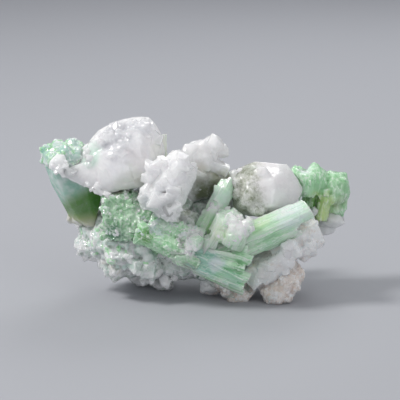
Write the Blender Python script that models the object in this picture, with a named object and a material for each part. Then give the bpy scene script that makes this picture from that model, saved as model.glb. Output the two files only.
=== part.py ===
# Green tourmaline prisms and milky quartz crystals grown on a granular quartz and feldspar matrix.
# +X is the specimen's right as it is shown, +Y its back and +Z up. It stands on small flats at Z = 0.
# Sizes and corners are written in millimetres and turned into metres as each shape is made.

import math
import random

import bmesh
import bpy
from mathutils import Matrix, Vector

MM = 0.001
SEAM_GAP = 0.3  # between a crystal and the socket that it grew from
SHARPEST_GROWTH = 2.0  # the most that a sharp corner moves out when a shape is grown by the seam's gap
FLOOR = 0.0  # the height of the flats that the specimen stands on
FLAT_FACE_ANGLE = math.radians(4)  # faces that turn less than this are one crystal face
MERGE_REACHES = (0.05, 0.03, 0.01, 0.002, 0.0005)  # how near corners may be before they are merged, tried in turn

# Surface of each mineral: colour, roughness
MINERALS = {
    "milky_quartz": ((0.78, 0.76, 0.77), 0.35),
    "grey_quartz": ((0.58, 0.56, 0.53), 0.4),
    "green_tourmaline": ((0.36, 0.62, 0.40), 0.3),
    "deep_tourmaline": ((0.17, 0.33, 0.12), 0.3),
    "granular_quartz": ((0.55, 0.60, 0.55), 0.6),
    "pink_feldspar": ((0.62, 0.54, 0.50), 0.6),
}


def clear_scene():
    for item in list(bpy.data.objects):
        bpy.data.objects.remove(item)


def mineral(name):
    """The material of one mineral, made the first time that it is asked for."""
    found = bpy.data.materials.get(name)
    if found:
        return found
    colour, roughness = MINERALS[name]
    made = bpy.data.materials.new(name)
    made.use_nodes = True
    shader = made.node_tree.nodes["Principled BSDF"]
    shader.inputs["Base Color"].default_value = (*colour, 1.0)
    shader.inputs["Roughness"].default_value = roughness
    shader.inputs["Metallic"].default_value = 0.0
    return made


# Shapes, each a bmesh in metres


def crystal(corners):
    """A crystal with flat faces, from the places of its corners."""
    shape = bmesh.new()
    for corner in corners:
        shape.verts.new(Vector(corner) * MM)
    bmesh.ops.convex_hull(shape, input=shape.verts)
    inside = [vert for vert in shape.verts if not vert.link_faces]
    bmesh.ops.delete(shape, geom=inside, context="VERTS")
    bmesh.ops.recalc_face_normals(shape, faces=shape.faces)
    return shape


def grain(centre, radii, seed, corners=16):
    """A broken grain: an angular lump inside an ellipsoid of these radii."""
    picks = random.Random(seed)
    lean = Matrix.Rotation(picks.uniform(0, math.pi), 3, "Y") @ Matrix.Rotation(picks.uniform(0, math.pi), 3, "X")
    points = []
    for step in range(corners):
        height = 1 - 2 * (step + 0.5) / corners
        turn = step * math.pi * (3 - math.sqrt(5)) + picks.uniform(-0.25, 0.25)
        ring = math.sqrt(1 - height * height)
        way = lean @ Vector((ring * math.cos(turn), ring * math.sin(turn), height))
        reach = picks.uniform(0.84, 1.0)
        points.append([c + r * reach * w for c, r, w in zip(centre, radii, way)])
    return crystal(points)


def crust(centre, radii, grain_size, count, seed, corners=12, sunk=(0.78, 0.92), keep=lambda way: True):
    """Grains set side by side over an ellipsoid, on the sides that keep picks, each sunk to a share of its radius."""
    picks = random.Random(seed)
    grains = []
    for step in range(count):
        height = 1 - 2 * (step + 0.5) / count
        turn = step * math.pi * (3 - math.sqrt(5))
        ring = math.sqrt(1 - height * height)
        way = Vector((ring * math.cos(turn), ring * math.sin(turn), height))
        size = [grain_size * picks.uniform(0.75, 1.25) for _ in range(3)]
        depth = picks.uniform(*sunk)
        if keep(way):
            place = [c + r * depth * w for c, r, w in zip(centre, radii, way)]
            grains.append(grain(place, size, picks.random(), corners))
    return grains


def length_of(start, end):
    return (Vector(end) - Vector(start)).length


def between(start, end, across):
    """A frame at start with Z towards end and X as near to across as it can be."""
    along = (Vector(end) - Vector(start)).normalized()
    side = (Vector(across) - along * along.dot(Vector(across))).normalized()
    up = along.cross(side)
    frame = Matrix((side, up, along)).transposed().to_4x4()
    frame.translation = Vector(start)
    return frame


def prism(start, end, width, thickness, across=(0, -1, 0), ribs=9, rib_depth=0.12, slant=(0.0, 0.0), taper=1.0):
    """A tourmaline prism: a rounded three-sided section with uneven ribs along it and a flat, slanting end."""
    picks = random.Random(width + length_of(start, end))
    length = length_of(start, end)
    section = []
    count = 2 * ribs
    for step in range(count):
        turn = 2 * math.pi * (step + picks.uniform(-0.3, 0.3)) / count
        bulge = 1 + 0.10 * math.cos(3 * turn)
        rib = 1 - rib_depth * picks.uniform(0.3, 1.0) * (step % 2)
        reach = bulge * rib / 1.1
        section.append(Vector((reach * math.cos(turn) * thickness / 2, reach * math.sin(turn) * width / 2, 0)))
    shape = bmesh.new()
    foot = shape.faces.new([shape.verts.new(point) for point in section])
    top = bmesh.ops.extrude_face_region(shape, geom=[foot])["geom"]
    for vert in [item for item in top if isinstance(item, bmesh.types.BMVert)]:
        vert.co.z = length + vert.co.x * slant[0] + vert.co.y * slant[1]
        vert.co.x *= taper
        vert.co.y *= taper
    bmesh.ops.recalc_face_normals(shape, faces=shape.faces)
    bmesh.ops.transform(shape, matrix=between(start, end, across), verts=shape.verts)
    bmesh.ops.scale(shape, vec=(MM, MM, MM), verts=shape.verts)
    return shape


def quartz_point(base, tip, width, across=(0, -1, 0), tip_share=0.35, seed=1):
    """A six-sided quartz crystal that ends in a slightly uneven point."""
    picks = random.Random(seed)
    length = length_of(base, tip)
    frame = between(base, tip, across)
    corners = []
    for step in range(6):
        turn = math.pi * step / 3
        reach = width / 2 * picks.uniform(0.9, 1.05)
        foot = Vector((reach * math.cos(turn), reach * math.sin(turn), 0))
        shoulder = Vector((foot.x, foot.y, length * (1 - tip_share * picks.uniform(0.8, 1.15))))
        corners += [frame @ foot, frame @ shoulder]
    corners.append(frame @ Vector((0.04 * width, 0.02 * width, length)))
    corners.append(frame @ Vector((-0.05 * width, -0.03 * width, length * 0.99)))
    return crystal(corners)


def cleavage_block(centre, size, turn, seed):
    """A feldspar block: a box with slightly slanting sides, turned about X, Y and Z in degrees."""
    picks = random.Random(seed)
    frame = Matrix.Rotation(math.radians(turn[2]), 3, "Z")
    frame = frame @ Matrix.Rotation(math.radians(turn[1]), 3, "Y") @ Matrix.Rotation(math.radians(turn[0]), 3, "X")
    corners = []
    for x in (-0.5, 0.5):
        for y in (-0.5, 0.5):
            for z in (-0.5, 0.5):
                spot = Vector((x * size[0], y * size[1], z * size[2]))
                spot.x += 0.12 * spot.z + picks.uniform(-0.2, 0.2)
                spot.y += picks.uniform(-0.2, 0.2)
                corners.append(Vector(centre) + frame @ spot)
    return crystal(corners)


# Joining and cutting


def object_from(shape, name, mineral_name):
    mesh = bpy.data.meshes.new(name)
    shape.to_mesh(mesh)
    mesh.materials.append(mineral(mineral_name))
    made = bpy.data.objects.new(name, mesh)
    bpy.context.scene.collection.objects.link(made)
    return made


def grown(shape, by):
    """The convex form of a shape, moved out by this many millimetres on every side."""
    form = crystal([vert.co / MM for vert in shape.verts])
    form.normal_update()
    for vert in form.verts:
        vert.co += vert.normal * by * MM * min(vert.calc_shell_factor(), SHARPEST_GROWTH)
    return form


def box_of(shape):
    spots = [vert.co for vert in shape.verts]
    return [min(s[i] for s in spots) for i in range(3)], [max(s[i] for s in spots) for i in range(3)]


def boxes_meet(first, second):
    return all(first[0][i] < second[1][i] and second[0][i] < first[1][i] for i in range(3))


def boolean(target, others, operation):
    """Applies one exact Boolean of several closed shapes to an object, then removes those shapes."""
    group = bpy.data.collections.new("others")
    bpy.context.scene.collection.children.link(group)
    for item in others:
        bpy.context.scene.collection.objects.unlink(item)
        group.objects.link(item)
    step = target.modifiers.new(operation.title(), "BOOLEAN")
    step.operation = operation
    step.operand_type = "COLLECTION"
    step.collection = group
    step.solver = "EXACT"
    step.use_self = True
    bpy.context.view_layer.update()
    result = bpy.data.meshes.new_from_object(target.evaluated_get(bpy.context.evaluated_depsgraph_get()))
    target.modifiers.clear()
    target.data = result
    for item in others:
        bpy.data.objects.remove(item)
    bpy.data.collections.remove(group)


def cleaned(mesh, reach):
    """The mesh without the needle-thin faces that a cut leaves, its corners nearer than reach merged."""
    shape = bmesh.new()
    shape.from_mesh(mesh)
    bmesh.ops.remove_doubles(shape, verts=shape.verts, dist=reach * MM)
    bmesh.ops.dissolve_limit(shape, angle_limit=FLAT_FACE_ANGLE / 20, verts=shape.verts, edges=shape.edges)
    bmesh.ops.triangulate(shape, faces=shape.faces)
    return shape


def keep_largest_body(target):
    """Cleans the mesh as far as it stays closed, and removes chips that the sockets cut loose."""
    for reach in MERGE_REACHES:
        shape = cleaned(target.data, reach)
        if all(edge.is_manifold for edge in shape.edges):
            break
        shape.free()
    unseen = set(shape.faces)
    bodies = []
    while unseen:
        queue = [unseen.pop()]
        body = list(queue)
        while queue:
            face = queue.pop()
            near = {other for edge in face.edges for other in edge.link_faces} & unseen
            unseen -= near
            queue += near
            body += near
        bodies.append(body)
    bodies.sort(key=len)
    for body in bodies[:-1]:
        bmesh.ops.delete(shape, geom=body, context="FACES")
    loose = [vert for vert in shape.verts if not vert.link_faces]
    bmesh.ops.delete(shape, geom=loose, context="VERTS")
    shape.to_mesh(target.data)
    shape.free()


cut_forms = []  # the grown forms of what is already made, each with its box


def piece(name, mineral_name, shapes, cuts=None):
    """One node: its shapes joined, then cut clear of every piece made before it and of the shapes in cuts."""
    forms = [grown(shape, SEAM_GAP) for shape in shapes]
    own_boxes = [box_of(shape) for shape in shapes]
    parts = [object_from(shape, f"{name}_{index}", mineral_name) for index, shape in enumerate(shapes)]
    made = parts[0]
    if len(parts) > 1:
        boolean(made, parts[1:], "UNION")
    near = [form for form, box in cut_forms if any(boxes_meet(box, own) for own in own_boxes)]
    cutters = [object_from(form, f"{name}_socket_{index}", mineral_name) for index, form in enumerate(near)]
    cutters += [object_from(shape, f"{name}_cut_{index}", mineral_name) for index, shape in enumerate(cuts or [])]
    if cutters:
        boolean(made, cutters, "DIFFERENCE")
    keep_largest_body(made)
    made.name = name
    made.data.name = name
    cut_forms.extend((form, box_of(form)) for form in forms)
    return made


def floor_cut():
    """A slab below the floor, which leaves the flats that the specimen stands on."""
    return crystal([(x, y, z) for x in (-60, 60) for y in (-60, 60) for z in (FLOOR - 20, FLOOR)])


# Tourmaline


def long_tourmaline():
    """The long striated prism that points right, with thinner ones grown along its underside and its back."""
    main = prism((3.5, -11.2, 12.2), (25.4, -9.0, 22.0), 5.0, 4.4, ribs=7, slant=(0.1, 0.12))
    top = prism((8.0, -10.6, 16.2), (24.6, -8.4, 22.7), 3.4, 3.4, ribs=6, slant=(0.1, 0.1))
    under = prism((6.5, -10.2, 10.6), (22.2, -8.6, 17.4), 4.0, 3.8, ribs=6, slant=(0.2, -0.3))
    piece("long_tourmaline", "green_tourmaline", [main, top, under])


def upright_tourmaline():
    """A short prism broken across its middle, where its two halves are a little out of line."""
    lower = prism((0.2, -8.6, 13.8), (3.8, -6.6, 21.2), 5.6, 4.0, ribs=5, slant=(0.2, 0.3))
    upper = prism((2.6, -6.8, 18.8), (7.0, -4.0, 26.6), 5.2, 3.8, ribs=5, slant=(0.3, -0.25))
    piece("upright_tourmaline", "green_tourmaline", [lower, upper])


def tourmaline_spray():
    """Blades that fan out from the middle, down to the right, on a solid root."""
    blades = [
        ((-1.6, -11.4, 14.8), (11.4, -12.0, 13.4), 3.6, 2.8),
        ((-1.4, -12.2, 13.6), (12.2, -13.0, 11.2), 3.0, 2.4),
        ((-1.8, -12.6, 12.4), (10.6, -13.6, 9.4), 2.6, 2.2),
        ((-2.2, -12.2, 11.6), (11.4, -12.8, 6.8), 3.2, 2.6),
        ((-1.0, -11.4, 10.0), (10.4, -11.6, 4.8), 3.0, 2.8),
        ((-0.6, -10.0, 9.0), (8.0, -10.2, 4.6), 2.6, 2.6),
    ]
    root = crystal([
        (-2.4, -11.6, 15.2), (-2.6, -11.4, 10.6), (0.6, -11.0, 7.8), (9.0, -10.6, 5.2), (10.6, -11.8, 8.4),
        (11.0, -11.4, 13.4), (4.0, -12.4, 12.0), (-1.0, -8.0, 14.6), (0.0, -8.0, 8.6), (9.6, -8.0, 6.0),
        (10.4, -8.0, 13.0),
    ])
    shapes = [root]
    for index, (start, end, width, thickness) in enumerate(blades):
        shapes.append(prism(start, end, width, thickness, ribs=4, rib_depth=0.16, slant=(0.1, -0.3 * (index % 2))))
    piece("tourmaline_spray", "green_tourmaline", shapes)


def middle_tourmaline():
    lower = prism((-13.6, -10.2, 17.4), (0.6, -12.2, 10.8), 5.8, 4.4, ribs=5)
    upper = prism((-10.6, -9.4, 19.6), (1.0, -10.8, 15.4), 4.6, 4.2, ribs=5)
    front = prism((-8.4, -11.6, 15.4), (-0.6, -13.0, 12.6), 2.8, 2.4, ribs=3)
    end_grains = [
        grain((-1.4, -12.6, 14.4), (2.0, 1.8, 2.4), 41, 12),
        grain((-2.6, -11.6, 16.6), (2.0, 1.8, 1.4), 42, 10),
    ]
    piece("middle_tourmaline", "green_tourmaline", [lower, upper, front, *end_grains])


def tourmaline_needle():
    piece("tourmaline_needle", "green_tourmaline", [prism((-7.0, 2.6, 26.0), (-7.5, 2.6, 37.2), 0.9, 0.7, ribs=3)])


def left_tourmaline():
    """The stubby crystal at the far left. Its top and left side carry a crust of small grains."""
    stub = crystal([
        (-35.3, 0.5, 30.5), (-33.7, 0, 26), (-32.4, 0.5, 23.8), (-30.2, 1, 20.8), (-29.4, 2, 17.0),
        (-32.6, -4.2, 29.5), (-30.4, -3.2, 23.6), (-27.4, -2.2, 18.0), (-24.0, -1.4, 16.0), (-22.0, -1.0, 24.0),
        (-26.0, -4.0, 29.0), (-34.6, 1.0, 33.0), (-26.0, 1.0, 33.5), (-34.0, 6.0, 31.0), (-31.0, 8.0, 23.0),
        (-26.0, 9.0, 31.0), (-22.0, 8.0, 22.0), (-26.0, 7.0, 15.0),
    ])
    crown = crystal([
        (-36.0, 0.5, 33.6), (-35.0, 1, 35.0), (-33.0, 1, 35.4), (-30.4, 1.5, 35.8), (-27.0, 1.5, 35.6),
        (-24.6, 2, 33.4), (-35.2, -1, 30.6), (-33.4, -4.6, 32.4), (-29.4, -4.4, 34.0), (-26.4, -3.4, 33.0),
        (-33.0, 6.0, 33.4), (-27.0, 6.5, 34.0), (-30.0, -4.0, 30.0), (-25.0, 0.0, 30.0),
    ])
    grains = crust((-30.6, 0.6, 32.4), (5.4, 5.6, 3.8), 1.9, 15, 7, 8, keep=lambda way: way.z > -0.45)
    piece("left_tourmaline", "deep_tourmaline", [stub, crown, *grains])


def sugar_tourmaline():
    """A block under the large quartz with a skin of small grains."""
    block = crystal([
        (-22.0, -7.0, 25.2), (-17.4, -8.5, 25.4), (-14.0, -6.5, 25.2), (-13.2, -9.5, 22.6), (-8.4, -9.5, 20.6),
        (-7.4, -10.0, 18.2), (-21.6, -8.6, 24.4), (-21.4, -9.0, 18.6), (-20.4, -9.0, 15.0), (-11.0, -11.0, 14.4),
        (-15.0, -11.0, 19.0), (-21.0, 1.0, 25.0), (-20.0, 1.0, 14.5), (-8.0, 1.0, 21.0), (-8.4, 1.0, 14.4),
    ])
    picks = random.Random(12)
    skin = []
    for row in range(5):
        for column in range(6):
            across = (column + picks.uniform(-0.3, 0.3)) / 5
            down = (row + picks.uniform(-0.3, 0.3)) / 4
            x = -20.8 + across * (8.0 + 5.0 * down)
            z = 24.2 - 9.0 * down - 2.0 * across * (1 - down)
            skin.append(grain((x, -8.4 - 1.8 * across * down, z), (1.3, 1.3, 1.3), picks.random(), 9))
    piece("sugar_tourmaline", "green_tourmaline", [block, *skin])


def right_tourmaline():
    """The cluster at the far right and back: a blocky head, a stem in front and a round lobe."""
    head = crystal([
        (21.8, 4.5, 29.0), (25.2, 5, 28.0), (22.4, 1.5, 24.2), (26.0, 1.5, 22.4), (28.4, 4, 23.0),
        (27.4, 3, 27.6), (24.0, 1.0, 26.6), (23.0, 11, 28), (28.0, 11.5, 26), (24.0, 10, 21), (28.6, 9.0, 21.0),
    ])
    bridge = crystal([
        (25.6, 5, 28.2), (27.2, 6, 29.4), (29.8, 6, 27.9), (30.8, 5, 24.0), (27.0, 3.6, 23.0), (28.6, 3.2, 26.8),
        (27.0, 11, 28.4), (31.0, 11, 26.0), (29.0, 10, 20.0), (26.5, 9, 20.5),
    ])
    lobe = grain((32.2, 8.2, 23.0), (4.4, 5.0, 5.0), 15, 30)
    lower_lobe = grain((32.0, 8.8, 18.6), (3.4, 4.4, 3.4), 16, 16)
    stem = prism((28.8, 3.8, 16.6), (30.0, 4.4, 23.6), 3.4, 3.2, ribs=4, slant=(0.2, 0.3))
    back_stem = prism((25.6, 5.6, 13.0), (26.8, 5.8, 24.0), 4.6, 4.2, ribs=4)
    collar = crystal([
        (28.0, 3, 22.6), (32.4, 3, 22.0), (32.8, 5, 21.2), (28.4, 6, 21.2), (29.0, 3, 20.4), (31.6, 3.4, 20.4),
        (30.0, 8, 22.4), (30.0, 8, 19.4),
    ])
    bumps = crust((32.2, 8.2, 22.8), (4.4, 5.0, 5.0), 2.6, 5, 17, 10, sunk=(0.50, 0.58))
    shapes = [head, bridge, lobe, lower_lobe, stem, back_stem, collar, *bumps]
    piece("right_tourmaline", "green_tourmaline", shapes)


def rear_tourmaline():
    first = prism((-6.0, 11.0, 11.0), (13.0, 15.4, 21.6), 5.0, 4.4, across=(0, 1, 0), ribs=8, slant=(0.2, 0.1))
    second = prism((-2.0, 12.4, 9.4), (11.0, 16.4, 12.6), 3.6, 3.2, across=(0, 1, 0), ribs=7, slant=(0.1, 0.3))
    third = prism((-1.0, 9.6, 14.4), (7.6, 13.0, 24.6), 3.4, 3.0, across=(0, 1, 0), ribs=6, slant=(0.2, -0.2))
    piece("rear_tourmaline", "green_tourmaline", [first, second, third])


# Quartz


def large_quartz():
    """The big milky crystal at the upper left, with the tail that runs left below its shoulder."""
    body = crystal([
        (-11.3, 1, 41.6), (-14.8, 3, 41.2), (-19.0, 3, 40.2), (-22.6, 2, 38.2), (-25.0, 1, 35.2),
        (-9.8, 0, 39.8), (-8.3, 0, 37.4), (-7.5, 0, 33.0), (-8.8, -2, 29.0),
        (-12.8, -6.5, 38.2), (-17.1, -8.4, 36.6), (-21.8, -7.2, 34.6), (-24.1, -5, 32.8),
        (-17.0, -10.2, 30.4), (-11.6, -8.2, 31.6),
        (-12.4, -7, 27.0), (-16.9, -8, 26.6), (-22.0, -7.2, 25.4), (-23.8, -6, 25.2), (-25.4, -4, 26.6),
        (-13, 12, 37), (-20, 13, 33), (-11, 10, 28), (-20, 10, 26.4), (-24, 9, 33),
    ])
    shoulder = crystal([
        (-23.4, -3.0, 36.4), (-26.2, -1.0, 34.9), (-27.4, -2.0, 32.0), (-25.0, -6.2, 31.4), (-23.0, -6.4, 33.6),
        (-24.0, 4.0, 35.4), (-26.4, 3.0, 31.0), (-22.0, 0.0, 30.0),
    ])
    tail = crystal([
        (-24.4, -5.2, 32.4), (-29.0, -5.8, 31.0), (-31.4, -5.2, 29.4), (-29.4, -6.4, 28.9), (-26.9, -6.6, 27.8),
        (-24.4, -6.8, 26.2), (-26.0, -1.4, 31.4), (-30.0, -2.4, 30.4), (-25.0, -1.0, 27.2), (-22.0, -7.0, 29.0),
    ])
    crust_grains = [
        grain((-19.6, -4.0, 37.2), (3.6, 3.2, 1.9), 21, 10),
        grain((-15.2, -3.8, 38.6), (3.4, 3.0, 1.8), 22, 10),
        grain((-17.8, -1.4, 39.2), (3.6, 3.4, 1.6), 23, 10),
        grain((-22.4, -3.0, 35.6), (2.8, 3.0, 2.0), 24, 10),
        grain((-12.6, -2.4, 39.6), (2.4, 2.8, 1.9), 25, 10),
        grain((-22.8, -5.4, 26.6), (2.4, 2.2, 1.6), 26, 10),
        grain((-19.4, -7.6, 34.4), (2.4, 1.8, 1.8), 27, 10),
    ]
    piece("large_quartz", "milky_quartz", [body, shoulder, tail, *crust_grains])


def left_quartz_nub():
    piece("left_quartz_nub", "milky_quartz", [grain((-31.6, -5.4, 31.9), (2.6, 2.2, 2.9), 31, 20)])


def centre_quartz():
    """White crystals in front of the middle, with a round bead below."""
    head = crystal([
        (-6.6, -9, 35.2), (-3.9, -9, 35.6), (-2.6, -9, 34.6), (-0.4, -9.5, 32.2), (-0.2, -10, 29.6),
        (-1.6, -11, 27.0), (-8.6, -9.5, 33.4), (-10.4, -10, 30.8), (-12.0, -10.5, 28.4),
        (-5.4, -13.0, 33.2), (-8.2, -13.6, 30.8), (-3.2, -13.4, 30.4), (-5.6, -14.6, 28.2), (-9.6, -13.0, 27.0),
        (-4.0, -3.0, 34.0), (-9.0, -3.0, 31.0), (-2.0, -3.0, 29.0), (-6.0, -3.0, 25.0),
    ])
    tooth = crystal([
        (-4.6, -12.6, 34.4), (-3.0, -11.0, 35.0), (-1.0, -11.8, 32.6), (-2.4, -13.8, 31.6), (-4.6, -13.4, 32.0),
        (-2.8, -8.0, 32.0),
    ])
    chest = crystal([
        (-1.8, -12, 27.6), (-2.8, -13.4, 24.6), (-4.4, -14.6, 23.4), (-6.0, -14.8, 26.8), (-3.4, -14.6, 28.6),
        (-2.2, -8.0, 25.6), (-5.4, -8.0, 22.4), (-7.0, -12.0, 28.0), (-1.8, -10.0, 29.0),
    ])
    cheek = crystal([
        (-13.6, -11.0, 25.0), (-12.8, -12.4, 27.4), (-9.6, -14.0, 28.0), (-8.0, -14.6, 25.0), (-10.4, -13.6, 22.8),
        (-13.0, -12.0, 23.0), (-12.0, -7.0, 26.0), (-8.0, -8.0, 23.0), (-7.0, -10.0, 28.0),
    ])
    bead = grain((-6.3, -13.4, 22.4), (2.2, 2.2, 2.5), 51, 28)
    small_bead = grain((-6.4, -14.4, 26.0), (1.4, 1.2, 1.6), 52, 20)
    base = crystal([
        (-11.4, -11.6, 22.6), (-8.0, -12.6, 21.0), (-5.0, -12.0, 21.0), (-4.0, -8.0, 24.0), (-11.0, -6.0, 25.0),
        (-6.0, -5.0, 22.0), (-9.0, -13.2, 24.6),
    ])
    piece("centre_quartz", "milky_quartz", [head, tooth, chest, cheek, bead, small_bead, base])


def rear_quartz():
    """Knobs of quartz behind the middle, on a greyer base."""
    body = crystal([
        (-4.2, 2, 33.0), (-3.6, 3, 34.3), (-1.1, 3, 35.6), (1.0, 3, 36.0), (4.4, 4, 33.4), (5.4, 4, 30.4),
        (3.6, 1, 27.8), (-1, 0, 27.0), (-4, 1, 27.0), (-0.6, -2.6, 33.0), (2.4, -2.0, 30.8), (-3.0, -1.6, 30.0),
        (-2.0, 9, 33.0), (3.0, 9, 32.0), (-3.0, 8, 27.0), (4.0, 9, 27.0),
    ])
    top_knob = grain((3.2, 3.4, 34.8), (2.3, 2.4, 2.7), 61, 18)
    side_knob = grain((5.6, 4.2, 33.2), (2.0, 2.4, 1.9), 62, 16)
    wedge = crystal([
        (7.4, 3, 29.6), (6.8, 3, 28.2), (3.8, -0.6, 28.0), (3.6, -0.8, 30.2), (5.8, 2.4, 31.2), (3.4, 5, 30.0),
        (5.4, 6, 28.2),
    ])
    foot = crystal([
        (3.0, -0.6, 28.6), (7.6, 2.0, 28.4), (7.6, 3.0, 24.4), (2.0, 2.6, 22.0), (6.0, -0.4, 26.4),
        (-3.0, 1.0, 27.6), (-2.6, 1.0, 21.0), (2.0, 8.0, 27.6), (6.6, 8.0, 22.0), (-2.0, 8.0, 21.0),
    ])
    knobs = [
        grain((-2.0, -0.6, 33.4), (1.8, 1.8, 1.7), 63, 12),
        grain((1.2, -1.4, 33.0), (1.6, 1.4, 1.6), 64, 12),
        grain((-3.0, -1.2, 31.2), (1.6, 1.6, 2.0), 65, 12),
        grain((3.6, 0.6, 32.0), (1.5, 1.6, 1.8), 66, 12),
    ]
    piece("rear_quartz", "milky_quartz", [body, top_knob, side_knob, wedge, foot, *knobs])


def right_quartz():
    """A big rounded crystal. Its left half is rough and full of dark specks, its right half is smooth."""
    body = crystal([
        (9.6, 1, 29.8), (12.6, 1, 31.0), (14.6, 2, 31.5), (19.1, 2, 31.1), (21.6, 2, 29.8),
        (23.6, 1, 27), (24.5, 1, 24.8), (23.8, -1, 22.8), (21.8, -3.0, 21.4), (18.8, -4.6, 20.8),
        (12.0, -6.0, 19.8), (8.4, -5, 20.4), (8.0, -3, 24.6), (7.2, -1, 27.2), (8.0, 0, 28.8),
        (11.6, -6.4, 28.0), (17.6, -6.6, 27.6), (21.2, -4.6, 25.6), (11.0, -8.2, 23.6), (16.8, -8.0, 22.8),
        (12, 10, 29), (19, 10, 28.2), (21, 9, 23), (10, 9, 22), (16, 10, 19),
    ])
    grains = [
        grain((8.8, -4.4, 27.4), (2.2, 1.6, 1.4), 71, 12),
        grain((8.8, -5.2, 25.0), (1.8, 1.6, 1.8), 72, 12),
        grain((12.4, -7.0, 25.6), (2.2, 1.4, 1.8), 73, 12),
        grain((13.6, -7.2, 21.4), (2.6, 1.6, 1.6), 74, 12),
        grain((14.4, -3.6, 29.6), (2.2, 2.0, 1.6), 75, 12),
    ]
    piece("right_quartz", "grey_quartz", [body, *grains])


def pale_quartz_cap():
    """Pale lumps that cover the place where the prisms cross."""
    lumps = [
        grain((5.0, -13.0, 17.6), (2.5, 2.0, 3.0), 81, 14),
        grain((8.6, -13.8, 17.6), (3.0, 2.4, 3.2), 82, 16),
        grain((7.4, -13.0, 20.2), (2.4, 1.7, 1.7), 83, 11),
        grain((11.0, -13.2, 19.2), (1.8, 1.7, 1.8), 84, 10),
        grain((3.0, -12.4, 15.4), (1.9, 1.6, 1.6), 85, 10),
        grain((7.4, -10.4, 20.6), (3.8, 3.0, 2.0), 87, 12),
        grain((7.0, -10.0, 17.0), (3.6, 3.2, 3.0), 88, 10),
    ]
    piece("pale_quartz_cap", "milky_quartz", lumps)


def right_quartz_nub():
    nub = grain((31.4, 5.4, 16.1), (3.9, 2.8, 2.0), 91, 16)
    under = grain((30.2, 6.4, 13.6), (2.6, 2.4, 1.6), 92, 12)
    piece("right_quartz_nub", "milky_quartz", [nub, under])


def rear_quartz_point():
    first = quartz_point((-13.0, 7.0, 16.0), (-19.0, 16.6, 25.0), 8.0, seed=5)
    second = quartz_point((-16.0, 8.0, 12.0), (-24.0, 15.4, 14.0), 5.4, seed=8)
    piece("rear_quartz_point", "milky_quartz", [first, second])


# Feldspar


def feldspar_shelf():
    """Blocks with flat cleavage faces under the long prism, stepping down to the middle."""
    blocks = [
        cleavage_block((24.4, -3.0, 15.0), (6.4, 9.4, 5.4), (8, -34, 14), 101),
        cleavage_block((21.2, -5.6, 12.0), (6.2, 8.2, 5.6), (-10, -38, -12), 102),
        cleavage_block((24.4, -6.0, 12.4), (3.8, 4.6, 3.8), (20, -30, 24), 103),
        cleavage_block((20.0, -8.4, 14.2), (3.6, 4.0, 3.6), (-18, -20, 20), 104),
        cleavage_block((16.4, -6.2, 8.6), (6.4, 8.4, 4.6), (12, -28, 8), 105),
        cleavage_block((13.6, -7.4, 5.8), (3.6, 5.4, 4.2), (-8, -50, -16), 106),
        cleavage_block((18.6, -8.6, 10.4), (3.4, 3.4, 3.0), (24, -40, -22), 107),
    ]
    tips = [
        grain((28.0, -5.6, 14.2), (1.3, 1.6, 2.0), 108, 12),
        grain((16.2, -9.4, 8.4), (2.2, 1.7, 2.0), 109, 12),
        grain((20.8, -8.8, 9.6), (1.7, 1.5, 1.5), 110, 12),
    ]
    piece("feldspar_shelf", "pink_feldspar", [*blocks, *tips])


def feldspar_foot():
    """The rough lump at the lower right, one of the specimen's feet."""
    body = crystal([
        (14.4, -9.0, 2.6), (15.6, -9.5, 0.4), (17.4, -9.6, -0.4), (19.6, -9.0, -0.4), (21.8, -8.2, 1.2),
        (23.6, -7.2, 3.6), (24.7, -6.8, 5.4), (24.4, -6.6, 7.4), (22.4, -6.4, 8.8), (20.0, -8.2, 7.4),
        (17.4, -9.8, 5.4), (19.6, -11.2, 3.6), (21.8, -10.0, 5.6), (16.6, -11.0, 2.0), (18.6, -11.2, 0.6),
        (15.4, -4.0, 4.6), (17.0, -3.6, -0.4), (20.4, -3.0, -0.4), (23.6, -2.0, 4.0), (22.0, -2.0, 8.4),
    ])
    grains = crust((19.4, -7.0, 3.8), (4.6, 4.4, 4.4), 2.1, 12, 19, 9, sunk=(0.62, 0.74), keep=lambda way: way.y < 0.3)
    piece("feldspar_foot", "pink_feldspar", [body, *grains], cuts=[floor_cut()])


# Matrix

# Regions of granular rock: centre, radii, grain size, number of grains
ROCK_REGIONS = [
    ((-14.5, -2.0, 11.4), (11.8, 9.4, 8.6), 4.1, 14),  # front left belly
    ((-21.5, 3.0, 14.4), (7.8, 8.0, 7.2), 4.2, 5),  # left flank
    ((-4.0, -1.5, 9.4), (9.4, 9.6, 6.6), 3.8, 7),  # front middle
    ((7.4, -3.0, 5.6), (8.0, 7.6, 5.6), 3.6, 6),  # bottom middle
    ((14.0, 3.0, 10.4), (10.4, 8.8, 8.2), 4.6, 6),  # right half
    ((23.6, 5.0, 13.0), (6.4, 6.4, 6.0), 3.6, 4),  # right flank
    ((0.0, 7.0, 16.0), (15.4, 7.8, 8.4), 5.0, 6),  # back
    ((-10.0, 7.0, 7.4), (8.8, 7.0, 7.8), 4.2, 5),  # lower back left
    ((-9.0, 1.0, 20.4), (10.0, 7.4, 7.0), 3.6, 0),  # under the large quartz
    ((-3.0, -4.6, 17.6), (5.6, 4.6, 4.6), 2.8, 0),  # behind the middle prisms
]

# The flats that it stands on: centre of each foot and its radii
FEET = [
    ((9.0, -5.8, 1.4), (4.8, 3.0, 2.6)),
    ((-8.6, 2.6, 2.0), (3.6, 3.0, 3.0)),
    ((-14.0, 9.6, 2.2), (3.4, 2.8, 3.2)),
    ((13.6, 8.6, 2.2), (3.6, 3.0, 3.2)),
]


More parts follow.
